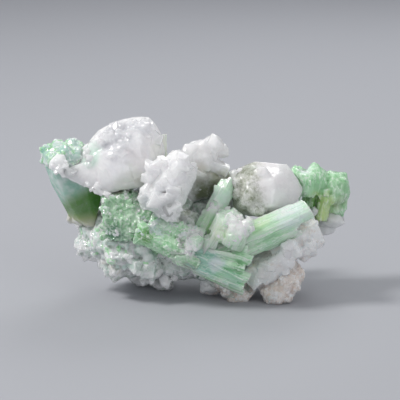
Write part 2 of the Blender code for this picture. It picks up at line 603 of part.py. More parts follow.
def matrix():
    shapes = []
    for index, (centre, radii, grain_size, count) in enumerate(ROCK_REGIONS):
        core = [r * 0.88 for r in radii]
        shapes.append(grain(centre, core, 200 + index, 20))
        shapes += crust(centre, radii, grain_size, count, 300 + index, 8, sunk=(0.60, 0.74))
    for index, (centre, radii) in enumerate(FEET):
        shapes.append(grain(centre, radii, 400 + index, 12))
    piece("matrix", "granular_quartz", shapes, cuts=[floor_cut()])


def centre_on_floor():
    """Moves the whole specimen so that its box is centred on the origin and stands at Z = 0."""
    meshes = [item.data for item in bpy.context.scene.objects if item.type == "MESH"]
    spots = [vert.co for mesh in meshes for vert in mesh.vertices]
    low = [min(spot[i] for spot in spots) for i in range(3)]
    high = [max(spot[i] for spot in spots) for i in range(3)]
    shift = Vector((-(low[0] + high[0]) / 2, -(low[1] + high[1]) / 2, -low[2]))
    for mesh in meshes:
        mesh.transform(Matrix.Translation(shift))
    return shift


def main():
    clear_scene()
    for make in (
        pale_quartz_cap, long_tourmaline, upright_tourmaline, tourmaline_spray, middle_tourmaline,
        large_quartz, left_quartz_nub, centre_quartz, tourmaline_needle, rear_quartz, right_quartz,
        sugar_tourmaline, left_tourmaline, right_tourmaline, right_quartz_nub, rear_tourmaline,
        rear_quartz_point, feldspar_shelf, feldspar_foot, matrix,
    ):
        make()
    return centre_on_floor()


moved_by = main()
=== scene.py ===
import itertools
import math
import random

import bmesh
import bpy
import numpy as np
from mathutils import Matrix, Vector
from mathutils.bvhtree import BVHTree


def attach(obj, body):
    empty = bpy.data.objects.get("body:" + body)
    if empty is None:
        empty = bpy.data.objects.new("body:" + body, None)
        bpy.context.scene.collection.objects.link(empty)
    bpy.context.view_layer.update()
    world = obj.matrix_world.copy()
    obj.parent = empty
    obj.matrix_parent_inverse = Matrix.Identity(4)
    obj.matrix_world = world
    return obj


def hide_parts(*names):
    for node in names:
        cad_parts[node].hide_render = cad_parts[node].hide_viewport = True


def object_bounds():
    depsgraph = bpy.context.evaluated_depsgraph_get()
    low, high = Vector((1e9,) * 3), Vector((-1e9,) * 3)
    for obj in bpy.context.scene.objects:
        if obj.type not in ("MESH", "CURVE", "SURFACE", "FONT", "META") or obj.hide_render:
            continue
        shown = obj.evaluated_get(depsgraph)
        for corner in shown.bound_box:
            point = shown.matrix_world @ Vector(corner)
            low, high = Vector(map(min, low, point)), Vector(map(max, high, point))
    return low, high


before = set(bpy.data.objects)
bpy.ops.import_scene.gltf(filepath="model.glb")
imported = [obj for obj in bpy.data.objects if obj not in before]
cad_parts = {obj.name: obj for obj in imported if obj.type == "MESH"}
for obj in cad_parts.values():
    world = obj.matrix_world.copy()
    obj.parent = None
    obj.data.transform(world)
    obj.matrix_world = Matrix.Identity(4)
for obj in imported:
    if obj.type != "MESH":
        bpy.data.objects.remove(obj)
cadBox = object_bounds()
mm = 0.001
fullTurn = 6.3  # a little over a whole turn, in radians


# working with meshes, where all sizes and places are in millimetres

def nodeShape(node):
    shape = bmesh.new()
    shape.from_mesh(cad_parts[node].data)
    bmesh.ops.remove_doubles(shape, verts=shape.verts, dist=0.002 * mm)
    return shape


def latticeNumbers(cells, seed):  # three even numbers from 0 to 1 for each whole-numbered place
    mixed = cells[:, 0] * 73856093 ^ cells[:, 1] * 19349663 ^ cells[:, 2] * 83492791 ^ (seed * 2654435761)
    found = np.empty((len(cells), 3), np.float32)
    for column in range(3):
        mixed = (mixed & 0xFFFFFFFF) * 2246822519
        mixed = (mixed ^ (mixed >> 15)) & 0xFFFFFFFF
        mixed = (mixed * 3266489917) ^ (mixed >> 13)
        found[:, column] = (mixed & 0xFFFFFF) / float(0xFFFFFF)
    return found


def cloud(points, size, seed, octaves=3):  # soft lumps, from -1 to 1
    total = np.zeros(len(points), np.float32)
    gain = 1.0
    for octave in range(octaves):
        places = points / size * 2 ** octave
        base = np.floor(places).astype(np.int64)
        part = (places - base).astype(np.float32)
        part = part * part * (3 - 2 * part)
        for corner in itertools.product((0, 1), repeat=3):
            share = np.prod(np.where(corner, part, 1 - part), axis=1)
            total += gain * share * (latticeNumbers(base + np.array(corner), seed + octave)[:, 0] * 2 - 1)
        gain *= 0.5
    return total / (2 - 2 * gain)


def chips(points, size, seed):  # broken cells: distance to the crease, slant of the chip, one number per chip
    places = points / size
    base = np.floor(places).astype(np.int64)
    nearest = np.full(len(points), 9.0, np.float32)
    second = nearest.copy()
    lean = np.zeros((len(points), 3), np.float32)
    offset = np.zeros((len(points), 3), np.float32)
    for step in itertools.product((-1, 0, 1), repeat=3):
        cell = base + np.array(step)
        numbers = latticeNumbers(cell, seed)
        away = (cell + numbers - places).astype(np.float32)
        distance = np.sqrt((away * away).sum(axis=1))
        closer = distance < nearest
        second = np.where(closer, nearest, np.minimum(second, distance))
        nearest = np.where(closer, distance, nearest)
        lean[closer] = latticeNumbers(cell[closer], seed + 7)
        offset[closer] = away[closer]
    slant = ((lean * 2 - 1) * offset).sum(axis=1)
    return second - nearest, slant, lean[:, 0]


def near(points, centre, reach, soft=0.5):  # 1 inside a ball, falling to 0 over its outer share
    distance = np.sqrt(((points - np.array(centre)) ** 2).sum(axis=1))
    return np.clip((reach - distance) / (reach * soft), 0, 1)


# small crystals: how each kind starts, how far its corners stray, its flat breaks and rounded edges
crystalKinds = {
    "chip": {"start": "cube", "stray": 0.2, "breaks": 4, "rounding": 0.0},
    "block": {"start": "cube", "stray": 0.1, "breaks": 1, "rounding": 0.0},
    "prism": {"start": "prism", "stray": 0.05, "breaks": 1, "rounding": 0.0},
    "pebble": {"start": "ball", "stray": 0.12, "breaks": 7, "rounding": 0.14},
    "bead": {"start": "bead", "stray": 0.02, "breaks": 0, "rounding": 0.0},
}


def crystalForms(kind, seed):  # seven closed crystals of about 1 mm half width
    picks = random.Random(seed)
    recipe = crystalKinds[kind]
    forms = []
    for _ in range(7):
        form = bmesh.new()
        if recipe["start"] == "cube":
            bmesh.ops.create_cube(form, size=1.5)
        elif recipe["start"] == "prism":
            bmesh.ops.create_cone(
                form, cap_ends=True, segments=picks.choice((4, 5, 6)), radius1=1.0, radius2=0.9, depth=2.0,
            )
        else:
            bmesh.ops.create_icosphere(form, subdivisions=3 if kind == "bead" else 1, radius=1.0)
        for vert in form.verts:
            vert.co += Vector([picks.uniform(-1, 1) * recipe["stray"] for _ in range(3)])
        for _ in range(recipe["breaks"]):
            lean = Vector([picks.gauss(0, 1) for _ in range(3)]).normalized()
            everything = [*form.verts, *form.edges, *form.faces]
            depth = lean * picks.uniform(0.45, 0.85)
            bmesh.ops.bisect_plane(form, geom=everything, plane_co=depth, plane_no=lean, clear_outer=True)
            bmesh.ops.holes_fill(form, edges=form.edges[:], sides=0)
        bmesh.ops.dissolve_degenerate(form, dist=0.02, edges=form.edges)
        if recipe["rounding"]:
            bmesh.ops.bevel(
                form, geom=form.edges[:], offset=recipe["rounding"], segments=2, profile=0.5,
                affect="EDGES", material=-1, clamp_overlap=True,
            )
        bmesh.ops.recalc_face_normals(form, faces=form.faces)
        mesh = bpy.data.meshes.new("crystalForm")
        form.to_mesh(mesh)
        form.free()
        forms.append(mesh)
    return forms


def loose(kind, count, sizes, sunk, seed, where, **more):  # crystals strewn over a skin where where() is true
    return {"kind": kind, "count": count, "sizes": sizes, "sunk": sunk, "seed": seed, "where": where, **more}


def placed(kind, seed, places, **more):  # crystals set one by one, each with its centre and half width
    return {"kind": kind, "seed": seed, "places": places, **more}


def setCrystals(whole, crystals, centres, normals, areas):
    # sets one kind of small crystals into a skin, and returns each one's number of faces
    picks = random.Random(crystals["seed"])
    forms = crystalForms(crystals["kind"], crystals["seed"])
    spots = list(crystals.get("places", ()))
    if "count" in crystals:
        chance = np.cumsum(areas * crystals["where"](centres, normals))
        for _ in range(crystals["count"]):
            face = int(np.searchsorted(chance, picks.random() * chance[-1]))
            size = picks.uniform(*crystals["sizes"])
            depth = size * (crystals["sunk"] + picks.uniform(-0.15, 0.15))
            spots.append((centres[face] - normals[face] * depth, size))
    counts = []
    for centre, size in spots:
        form = picks.choice(forms)
        if "axis" in crystals:
            stray = Vector([picks.uniform(-1, 1) * crystals["spread"] for _ in range(3)])
            lean = (Vector(crystals["axis"]).normalized() + stray).to_track_quat("Z", "Y").to_matrix().to_4x4()
            turn = lean @ Matrix.Rotation(picks.uniform(0, fullTurn), 4, "Z")
            stretch = Matrix.Diagonal([scale * size * mm for scale in crystals["stretch"]]).to_4x4()
        else:
            turn = Matrix.Rotation(picks.uniform(0, fullTurn), 4, "X")
            turn = turn @ Matrix.Rotation(picks.uniform(0, fullTurn), 4, "Y")
            squash = crystals.get("squash", (0.6, 1.25))
            stretch = Matrix.Diagonal([size * mm * picks.uniform(*squash) for _ in range(3)]).to_4x4()
        place = Matrix.Translation(Vector(centre) * mm) @ turn @ stretch
        form.transform(place)
        whole.from_mesh(form)
        form.transform(place.inverted())
        counts.append(len(form.polygons))
    for form in forms:
        bpy.data.meshes.remove(form)
    return counts


def arrayOf(items, field, width=1):
    found = np.empty(len(items) * width, np.float32)
    items.foreach_get(field, found)
    return found.reshape(-1, width) if width > 1 else found


def pointsOf(mesh):
    return arrayOf(mesh.vertices, "co", 3) / mm


def normalsOf(mesh):
    return arrayOf(mesh.vertices, "normal", 3)


def setPoints(mesh, points):
    mesh.vertices.foreach_set("co", (points * mm).astype(np.float32).ravel())
    mesh.update()


def linked(name, data):  # a new object in the scene
    made = bpy.data.objects.new(name, data)
    bpy.context.scene.collection.objects.link(made)
    return made


def skinned(name, shape, voxel, smooth):  # one closed skin round everything in a shape, as a mesh
    mesh = bpy.data.meshes.new(name)
    shape.to_mesh(mesh)
    piece = linked(name, mesh)
    skin = piece.modifiers.new("Skin", "REMESH")
    skin.mode = "VOXEL"
    skin.voxel_size = voxel * mm
    if smooth:
        ease = piece.modifiers.new("Ease", "SMOOTH")
        ease.factor = 0.5
        ease.iterations = smooth
    bpy.context.view_layer.update()
    made = bpy.data.meshes.new_from_object(piece.evaluated_get(bpy.context.evaluated_depsgraph_get()))
    bpy.data.objects.remove(piece)
    bpy.data.meshes.remove(mesh)
    return made


def ridges(mesh, spacing):  # 0 in hollows, 0.5 on flat faces and 1 on sharp edges, for each point
    points, normals = pointsOf(mesh), normalsOf(mesh)
    ends = np.empty(len(mesh.edges) * 2, np.int32)
    mesh.edges.foreach_get("vertices", ends)
    ends = ends.reshape(-1, 2)
    here, there = np.concatenate([ends[:, 0], ends[:, 1]]), np.concatenate([ends[:, 1], ends[:, 0]])
    share = np.maximum(np.bincount(here, minlength=len(points)), 1)
    middle = np.stack([np.bincount(here, points[there, axis], len(points)) for axis in range(3)], axis=1)
    middle = middle / share[:, None]
    bend = ((middle - points) * normals).sum(axis=1) / spacing
    for _ in range(2):
        bend = 0.5 * bend + 0.5 * np.bincount(here, bend[there], len(points)) / share
    return np.clip(0.5 - bend * 1.6, 0, 1)


def planed(points, normals, count, depths, reach, seed):  # flat broken faces cut into the bulges
    picks = np.random.default_rng(seed)
    for place in picks.integers(0, len(points), count):
        depth = picks.uniform(*depths)
        away = points - points[place]
        beyond = np.clip(away @ normals[place] + depth, 0, None)
        beyond[(away ** 2).sum(axis=1) > reach ** 2] = 0
        if beyond.max() < depth * 1.5:
            points = points - beyond[:, None] * normals[place]
    return points


# A piece is a skin moved by shift(points, normals), then set with small crystals and skinned again. Its
# recipe gives the mesh step before (voxel) and after (fine) the crystals, the rounds of smoothing before
# (smooth) and after (ease), the angle of a sharp edge, the size of a colour grain (chip), the count, depths and
# reach of broken planes, and the size and depth of the small broken faces all over it (grit).
def finished(name, recipe, shift, materials, crystals=()):
    shape = nodeShape(recipe["node"])
    made = skinned(name, shape, recipe["voxel"], recipe["smooth"])
    shape.free()
    points = pointsOf(made)
    points = points + shift(points, normalsOf(made))
    if "planes" in recipe:
        points = planed(points, normalsOf(made), *recipe["planes"], recipe["seed"])
    setPoints(made, points)
    centres = arrayOf(made.polygons, "center", 3) / mm
    grains = chips(centres, recipe["chip"], recipe["seed"])[2]
    looks = np.zeros(len(centres), np.int32)
    if crystals:
        whole = bmesh.new()
        whole.from_mesh(made)
        normals, areas = arrayOf(made.polygons, "normal", 3), arrayOf(made.polygons, "area")
        grainOf, lookOf = [grains], [looks]
        for one in crystals:
            counts = setCrystals(whole, one, centres, normals, areas)
            numbers = np.random.default_rng(one["seed"]).random(len(counts), np.float32)
            grainOf.append(np.repeat(numbers, counts))
            lookOf.append(np.full(sum(counts), one.get("look", 0), np.int32))
        grainOf, lookOf = np.concatenate(grainOf), np.concatenate(lookOf)
        bpy.data.meshes.remove(made)
        whole.faces.ensure_lookup_table()
        source = BVHTree.FromBMesh(whole)
        made = skinned(name, whole, recipe.get("fine", recipe["voxel"]), recipe.get("ease", 0))
        whole.free()
        centres = arrayOf(made.polygons, "center", 3)
        nearest = np.array([source.find_nearest(Vector(centre))[2] for centre in centres])
        grains, looks = grainOf[nearest], lookOf[nearest]
        points = pointsOf(made)
    if "grit" in recipe:
        size, depth = recipe["grit"]
        crease, slant, _ = chips(points, size, recipe["seed"] + 1)
        _, fineSlant, _ = chips(points, size * 0.45, recipe["seed"] + 2)
        height = depth * (1.6 * slant + 0.8 * fineSlant + np.clip(crease, 0, 0.3) - 0.15)
        points = points + normalsOf(made) * height[:, None]
    low, high = (np.array(corner) / mm for corner in cadBox)
    setPoints(made, np.clip(points, low + 0.01, high - 0.01))
    made.attributes.new("grain", "FLOAT", "FACE").data.foreach_set("value", grains)
    # the edge measure sets where shade is painted into hollows and a highlight onto sharp edges
    edges = ridges(made, recipe.get("fine", recipe["voxel"])).astype(np.float32)
    made.attributes.new("edge", "FLOAT", "POINT").data.foreach_set("value", edges)
    made.materials.clear()
    for material in materials:
        made.materials.append(material)
    made.polygons.foreach_set("material_index", looks)
    made.polygons.foreach_set("use_smooth", np.ones(len(grains), bool))
    made.set_sharp_from_angle(angle=math.radians(recipe["sharp"]))
    made.update()
    piece = linked(name, made)
    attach(piece, "root")
    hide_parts(recipe["node"])
    print(name, len(made.polygons), "faces")


# materials

class Wire:
    def __init__(self, finish, socket):
        self.finish = finish
        self.socket = socket

    def __add__(self, other):
        return self.finish.math("ADD", self, other)

    __radd__ = __add__

    def __sub__(self, other):
        return self.finish.math("SUBTRACT", self, other)

    def __rsub__(self, other):
        return self.finish.math("SUBTRACT", other, self)

    def __mul__(self, other):
        return self.finish.math("MULTIPLY", self, other)


class Finish:
    def __init__(self, name, constants):
        self.material = bpy.data.materials.new(name)
        self.material.use_nodes = True
        self.tree = self.material.node_tree
        self.shader = self.tree.nodes["Principled BSDF"]
        for socket, value in constants.items():
            self.shader.inputs[socket].default_value = value
        self.place = self.add(
            "ShaderNodeVectorMath", {"operation": "SCALE"},
            {0: self.add("ShaderNodeTexCoord", {}, {}, "Object"), "Scale": 1 / mm},
        )

    def add(self, kind, settings, sockets, outlet=0):
        made = self.tree.nodes.new(kind)
        for name, value in settings.items():
            setattr(made, name, value)
        for name, value in sockets.items():
            if isinstance(value, Wire):
                self.tree.links.new(value.socket, made.inputs[name])
            else:
                made.inputs[name].default_value = value
        return Wire(self, made.outputs[outlet])

    def math(self, operation, first, second):
        return self.add("ShaderNodeMath", {"operation": operation}, {0: first, 1: second})

    def mix(self, share, first, second):
        ends = [end if isinstance(end, Wire) else (*end, 1) for end in (first, second)]
        return self.add(
            "ShaderNodeMix", {"data_type": "RGBA", "clamp_factor": True}, {0: share, 6: ends[0], 7: ends[1]}, 2,
        )

    def ranged(self, value, fromLow, fromHigh, toLow=0.0, toHigh=1.0):
        return self.add(
            "ShaderNodeMapRange", {"interpolation_type": "SMOOTHSTEP"},
            {0: value, 1: fromLow, 2: fromHigh, 3: toLow, 4: toHigh},
        )

    def ball(self, centre, reach):  # 1 in the middle and 0 outside an uneven ball
        distance = self.vector("DISTANCE", self.place, centre, 1)
        uneven = (self.noise(2.0, 3) - 0.5) * (reach * 0.9)
        return self.ranged(distance + uneven, reach * 0.4, reach, 1.0, 0.0)

    def along(self, direction, start, end):  # 0 before start and 1 past end, along a direction
        return self.ranged(self.vector("DOT_PRODUCT", self.place, direction, 1), start, end)

    def turned(self, axis, squeeze):  # the place, turned so that Z runs along an axis, then squeezed along it
        turn = Vector(axis).to_track_quat("Z", "Y").to_matrix().transposed().to_euler()
        lined = self.add("ShaderNodeMapping", {"vector_type": "POINT"}, {0: self.place, "Rotation": turn})
        return self.vector("MULTIPLY", lined, (1, 1, squeeze))

    def noise(self, size, detail=4.0, rough=0.55, place=None, twist=0.0):
        return self.add("ShaderNodeTexNoise", {}, {
            "Vector": place or self.place, "Scale": 1 / size,
            "Detail": detail, "Roughness": rough, "Distortion": twist,
        })

    def vector(self, operation, first, second, outlet=0):
        return self.add("ShaderNodeVectorMath", {"operation": operation}, {0: first, 1: second}, outlet)

    def facets(self, size, place=None):  # broken faces: height in mm, a number for each, distance to the seams
        drift = self.add(
            "ShaderNodeTexNoise", {}, {"Vector": self.place, "Scale": 0.8 / size, "Detail": 2.0}, "Color",
        )
        bent = self.vector("ADD", place or self.place, self.vector("MULTIPLY", drift, (size * 0.8,) * 3))
        cell = self.add("ShaderNodeTexVoronoi", {}, {"Vector": bent, "Scale": 1 / size}, "Position")
        colour = Wire(self, cell.socket.node.outputs["Color"])
        lean = self.vector("SUBTRACT", colour, (0.5, 0.5, 0.5))
        height = self.vector("DOT_PRODUCT", lean, self.vector("SUBTRACT", bent, cell), 1)
        seam = self.add(
            "ShaderNodeTexVoronoi", {"feature": "DISTANCE_TO_EDGE"}, {"Vector": bent, "Scale": 1 / size},
        )
        return height, self.add("ShaderNodeSeparateColor", {}, {0: colour}, 0), seam

    def carried(self, name):  # "grain" is a number for each small crystal, "edge" tells edges from hollows
        return self.add("ShaderNodeAttribute", {"attribute_name": name}, {}, "Fac")

    def tinted(self, colour, value, start, full, share, tint):  # from none at start to the whole share at full
        return self.mix(self.ranged(value, start, full, 0.0, share), colour, tint)

    def zoned(self, colour, zones):  # a zone is a centre, its reach, its colour and how strongly it tints
        for centre, reach, tint, strength in zones:
            colour = self.mix(self.ball(centre, reach) * strength, colour, tint)
        return colour

    def seamed(self, colour, size, low, high, seams, tint):  # in patches, thin lines where broken faces meet
        patches = self.ranged(self.noise(size, 4, 0.6), low, high)
        for seam, start, end, share in seams:
            colour = self.mix((1 - self.ranged(seam, start, end)) * patches * share, colour, tint)
        return colour

    def paintShadeAndEdgeLight(self, colour, start, full, paintedShadeShare, paintedShade, edgeLightShare, edgeLight):  # painted shade darkens the hollows and a painted highlight lightens the sharp edges
        edge = self.carried("edge")
        colour = self.tinted(colour, edge, start, full, paintedShadeShare, paintedShade)
        return self.tinted(colour, edge, 0.54, 0.85, edgeLightShare, edgeLight)

    def surfaced(self, colour, height, size, relief, glossy, coarse):  # with a fine grain's size and relief
        fine = self.noise(size, 4, 0.6)
        rough = self.ranged(fine, 0.3, 0.7, glossy, coarse)
        raised = height + fine * relief
        bumps = self.add("ShaderNodeBump", {}, {"Height": raised, "Distance": mm, "Strength": 1.0})
        return self.use(Base_Color=colour, Roughness=rough, Normal=bumps)

    def use(self, **sockets):
        for name, value in sockets.items():
            self.tree.links.new(value.socket, self.shader.inputs[name.replace("_", " ")])
        return self.material


def stone(name, ior, shine, clear, cloudy, tones, glow):
    return Finish(name, {
        "IOR": ior, "Specular IOR Level": shine, "Transmission Weight": clear, "Subsurface Weight": cloudy,
        "Subsurface Radius": tones, "Subsurface Scale": glow * mm,
    })


# milky quartz
quartz = {
    "white": (0.96, 0.955, 0.97),
    "cloudy": (0.86, 0.85, 0.875),
    "warm": (0.9, 0.86, 0.85),
    # painted shade for the hollows
    "grey": (0.62, 0.63, 0.63),
    "paintedShade": (0.62, 0.64, 0.62),
    "cloudSize": 5.0,
    "ior": 1.54,
}


# clear is the share of light that passes through, glow how deep it scatters in mm, relief how uneven the faces
# are, face their size in mm and broken how steep they lie
def quartzFinish(
    name, clear=0.1, glow=3.0, relief=0.5, zones=(), grainy=0.0, tint=None, extra=None, face=2.4, broken=0.3,
):
    made = stone(name, quartz["ior"], 0.9, clear, 1.0, (1.0, 0.97, 0.97), glow)
    clouds = made.noise(quartz["cloudSize"], 5, 0.6, twist=0.8)
    colour = made.mix(made.ranged(clouds, 0.38, 0.6), quartz["cloudy"], quartz["white"])
    colour = made.tinted(colour, made.noise(9.0, 3), 0.5, 0.72, 0.6, quartz["warm"])
    if tint:
        colour = made.mix(made.ranged(made.noise(2.6, 4), 0.3, 0.7, 1.0, 0.35), colour, tint)
    if grainy:
        colour = made.tinted(colour, made.carried("grain"), 0.35, 0.0, grainy, quartz["grey"])
    colour = made.zoned(colour, zones)
    if extra:
        colour = extra(made, colour)
    large, number, seam = made.facets(face)
    small, smallNumber, smallSeam = made.facets(face * 0.4)
    colour = made.tinted(colour, number + smallNumber, 1.0, 0.2, 0.1 + 0.5 * broken, quartz["grey"])
    seams = [(seam, 0.01, 0.1, 1.6 * broken), (smallSeam, 0.02, 0.14, broken)]
    colour = made.seamed(colour, face * 1.2, 0.42, 0.6, seams, quartz["white"])
    # painted shade in the hollows and a painted white highlight along sharp edges
    colour = made.paintShadeAndEdgeLight(colour, 0.44, 0.05, 0.3, quartz["paintedShade"], 0.8, quartz["white"])
    return made.surfaced(colour, (large + small * 0.9) * broken, 0.9, 0.08 * relief, 0.06, 0.18)


# green tourmaline
tourmaline = {
    "mint": (0.42, 0.74, 0.44),
    "pale": (0.66, 0.93, 0.67),
    "white": (0.88, 1.0, 0.88),
    # deep green, also used as the painted shade in the hollows
    "deep": (0.15, 0.4, 0.17),
    "blue": (0.38, 0.68, 0.57),
    "yellow": (0.6, 0.82, 0.42),
    "lineSize": 0.42,
    "ior": 1.63,
}


def tourmalineFinish(name, axis, zones=(), clear=0.05, glow=2.6, lines=1.0, grainy=0.0, paleness=0.5):
    made = stone(name, tourmaline["ior"], 0.7, clear, 0.9, (0.8, 1.0, 0.85), glow)
    lined = made.turned(axis, 0.05)
    streaks = made.noise(tourmaline["lineSize"], 3, 0.5, lined)
    broad = made.noise(1.5, 3, 0.5, lined)
    clouds = made.noise(3.4, 4, 0.55)
    light = made.ranged(clouds, 0.72 - paleness * 0.6, 0.95 - paleness * 0.6)
    colour = made.mix(light, tourmaline["mint"], tourmaline["pale"])
    colour = made.zoned(colour, zones)
    colour = made.tinted(colour, broad, 0.5, 0.7, 0.5 * lines, tourmaline["pale"])
    colour = made.tinted(colour, streaks, 0.56, 0.7, 0.7 * lines, tourmaline["white"])
    colour = made.mix(made.ranged(streaks, 0.28, 0.42, 0.45 * lines, 0.0), colour, tourmaline["deep"])
    if grainy:
        grains = made.carried("grain")
        colour = made.tinted(colour, grains, 0.6, 0.95, 0.4 * grainy, tourmaline["white"])
        colour = made.tinted(colour, grains, 0.4, 0.0, 0.3 * grainy, tourmaline["deep"])
    lineUp = None if grainy else made.turned(axis, 0.12)
    large, number, seam = made.facets(1.5 if grainy else 1.1, lineUp)
    small, smallNumber, _ = made.facets(0.55 if grainy else 0.45, lineUp)
    steep = 0.16 + 0.16 * grainy
    numbers = number * 0.7 + smallNumber * 1.3
    colour = made.tinted(colour, numbers, 1.15, 1.8, 0.2 + 0.5 * grainy, tourmaline["white"])
    colour = made.tinted(colour, numbers, 0.8, 0.2, 0.12 + 0.3 * grainy, tourmaline["deep"])
    colour = made.seamed(colour, 2.0, 0.42, 0.6, [(seam, 0.02, 0.12, 0.6)], tourmaline["white"])
    # painted shade in deep green in the hollows and a painted highlight along sharp edges
    colour = made.paintShadeAndEdgeLight(colour, 0.44, 0.05, 0.45, tourmaline["deep"], 0.7, tourmaline["white"])
    height = (large + small * 0.9) * steep + streaks * (0.1 * lines)
    return made.surfaced(colour, height, 0.6, 0.03, 0.08, 0.22)


# granular matrix
rock = {
    "white": (0.88, 0.89, 0.9),
    "grey": (0.52, 0.55, 0.52),
    "clear": (0.5, 0.6, 0.53),
    "green": (0.44, 0.68, 0.5),
    "beige": (0.68, 0.66, 0.58),
    # dark specks, and also the painted shade in the hollows
    "dark": (0.07, 0.1, 0.07),
}


def rockFinish(name, zones):
    made = stone(name, quartz["ior"], 0.9, 0.04, 0.95, (1.0, 1.0, 0.97), 1.8)
    height = made.add("ShaderNodeSeparateXYZ", {}, {0: made.place}, 2)
    grains = made.carried("grain")
    patches = made.noise(5.5, 4, 0.6)
    colour = made.mix(made.ranged(grains, 0.0, 0.8), rock["grey"], rock["white"])
    greenness = made.ranged(patches, 0.42, 0.58) * made.ranged(height, 4.0, 13.0)
    colour = made.mix(greenness * 0.75, colour, rock["green"])
    colour = made.zoned(colour, zones)
    large, number, seam = made.facets(2.2)
    small, smallNumber, smallSeam = made.facets(0.7)
    colour = made.tinted(colour, number, 0.62, 0.7, 0.75, rock["white"])
    colour = made.tinted(colour, number, 0.34, 0.26, 0.7, rock["clear"])
    colour = made.tinted(colour, smallNumber, 0.7, 0.9, 0.5, rock["white"])
    colour = made.tinted(colour, smallNumber, 0.3, 0.1, 0.35, rock["grey"])
    peppered = made.ball((-8.5, -9.5, 9.5), 6.0)
    specks = made.ranged(made.noise(0.8, 3, 0.7), 0.56, 0.66)
    colour = made.mix(peppered * 0.5, colour, (0.72, 0.78, 0.72))
    colour = made.mix(specks * (0.15 + peppered * 0.6), colour, rock["dark"])
    seams = [(seam, 0.02, 0.1, 0.85), (smallSeam, 0.02, 0.16, 0.4)]
    colour = made.seamed(colour, 2.4, 0.4, 0.58, seams, rock["white"])
    # painted shade in dark in the hollows and a painted highlight along sharp edges
    colour = made.paintShadeAndEdgeLight(colour, 0.44, 0.02, 0.8, rock["dark"], 0.8, rock["white"])
    return made.surfaced(colour, (large + small * 1.2) * 0.45, 0.5, 0.06, 0.08, 0.25)


# feldspar
feldspar = {
    "pink": (0.78, 0.67, 0.59),
    "pale": (0.96, 0.94, 0.94),
    "grey": (0.58, 0.56, 0.54),
    # brown stains, and also the painted shade in the hollows
    "brown": (0.42, 0.33, 0.27),
    "ior": 1.53,
}


def feldsparFinish(name, paleness, stain, relief, zones=()):
    made = stone(name, feldspar["ior"], 0.9, 0.03, 0.95, (1.0, 0.9, 0.86), 2.8)
    clouds = made.noise(3.0, 5, 0.6)
    light = made.ranged(clouds, 0.66 - paleness * 0.4, 0.78 - paleness * 0.3)
    colour = made.mix(light, feldspar["pink"], feldspar["pale"])
    colour = made.tinted(colour, made.carried("grain"), 0.2, 1.0, 0.4, feldspar["pale"])
    colour = made.zoned(colour, zones)
    colour = made.tinted(colour, made.noise(0.9, 5, 0.7), 0.54, 0.68, stain, feldspar["brown"])
    large, number, seam = made.facets(2.4)
    small, smallNumber, smallSeam = made.facets(0.8)
    numbers = number + smallNumber
    colour = made.tinted(colour, numbers, 1.1, 1.8, 0.6, feldspar["pale"])
    colour = made.tinted(colour, numbers, 0.8, 0.2, 0.45 - 0.35 * paleness, feldspar["grey"])
    seams = [(seam, 0.02, 0.1, 0.7), (smallSeam, 0.02, 0.14, 0.35)]
    colour = made.seamed(colour, 2.4, 0.4, 0.58, seams, feldspar["pale"])
    # painted shade in brown in the hollows, less on paler feldspar, and a painted highlight along sharp edges
    colour = made.paintShadeAndEdgeLight(colour, 0.45, 0.1, 0.55 - 0.35 * paleness, feldspar["brown"], 0.7, feldspar["pale"])
    return made.surfaced(colour, (large + small * 0.6) * 0.32, 0.6, 0.12 * relief, 0.1, 0.3)


clearQuartz = quartzFinish("clearQuartz", 0.02, 3.0, 0.4, tint=(0.97, 1.0, 0.99), face=1.8, broken=0.14)
whiteQuartz = quartzFinish("whiteQuartz", 0.06, 1.6, 0.3, grainy=0.25, face=1.2)
whiteGrains = quartzFinish("whiteGrains", 0.03, 2.4, 0.3, grainy=0.1, face=0.9, broken=0.3)
clearGrains = quartzFinish("clearGrains", 0.1, 2.4, 0.4, tint=(0.6, 0.76, 0.67), face=1.2, broken=0.3)
greenGrains = tourmalineFinish("greenGrains", (0, 0, 1), glow=1.4, lines=0.1, grainy=0.8, paleness=0.15)
bluishGrains = quartzFinish(
    "bluishGrains", 0.05, 2.2, 0.3, grainy=0.4, tint=(0.62, 0.8, 0.72), face=0.9, broken=0.3,
)
beigeGrains = feldsparFinish("beigeGrains", 0.3, 0.25, 0.4)


def crustShift(swell, lump, chip, size, seed):
    def shift(points, normals):
        crease, slant, _ = chips(points, size, seed)
        depth = swell + lump * cloud(points, 3.5, seed) + chip * (slant + np.clip(crease, 0, 0.3))
        depth = depth + 0.03 * cloud(points, 0.7, seed + 3)
        return normals * depth[:, None]
    return shift


def within(x=(-99, 99), y=(-99, 99), z=(-99, 99), front=9):  # a box, and how far a face may turn from the front
    low, high = np.array((x, y, z), np.float32).T
    return lambda points, normals: ((points > low) & (points < high)).all(axis=1) & (normals[:, 1] < front)


facingFront = within(front=0.4)


def everywhere(points, normals):
    return np.ones(len(points))


# the large milky crystal
largeQuartzSizes = {
    "node": "large_quartz", "slot": "milky_quartz", "voxel": 0.26, "fine": 0.2, "smooth": 7, "sharp": 24,
    "chip": 2.5, "seed": 14, "planes": (70, (0.1, 0.45), 4.5),
}


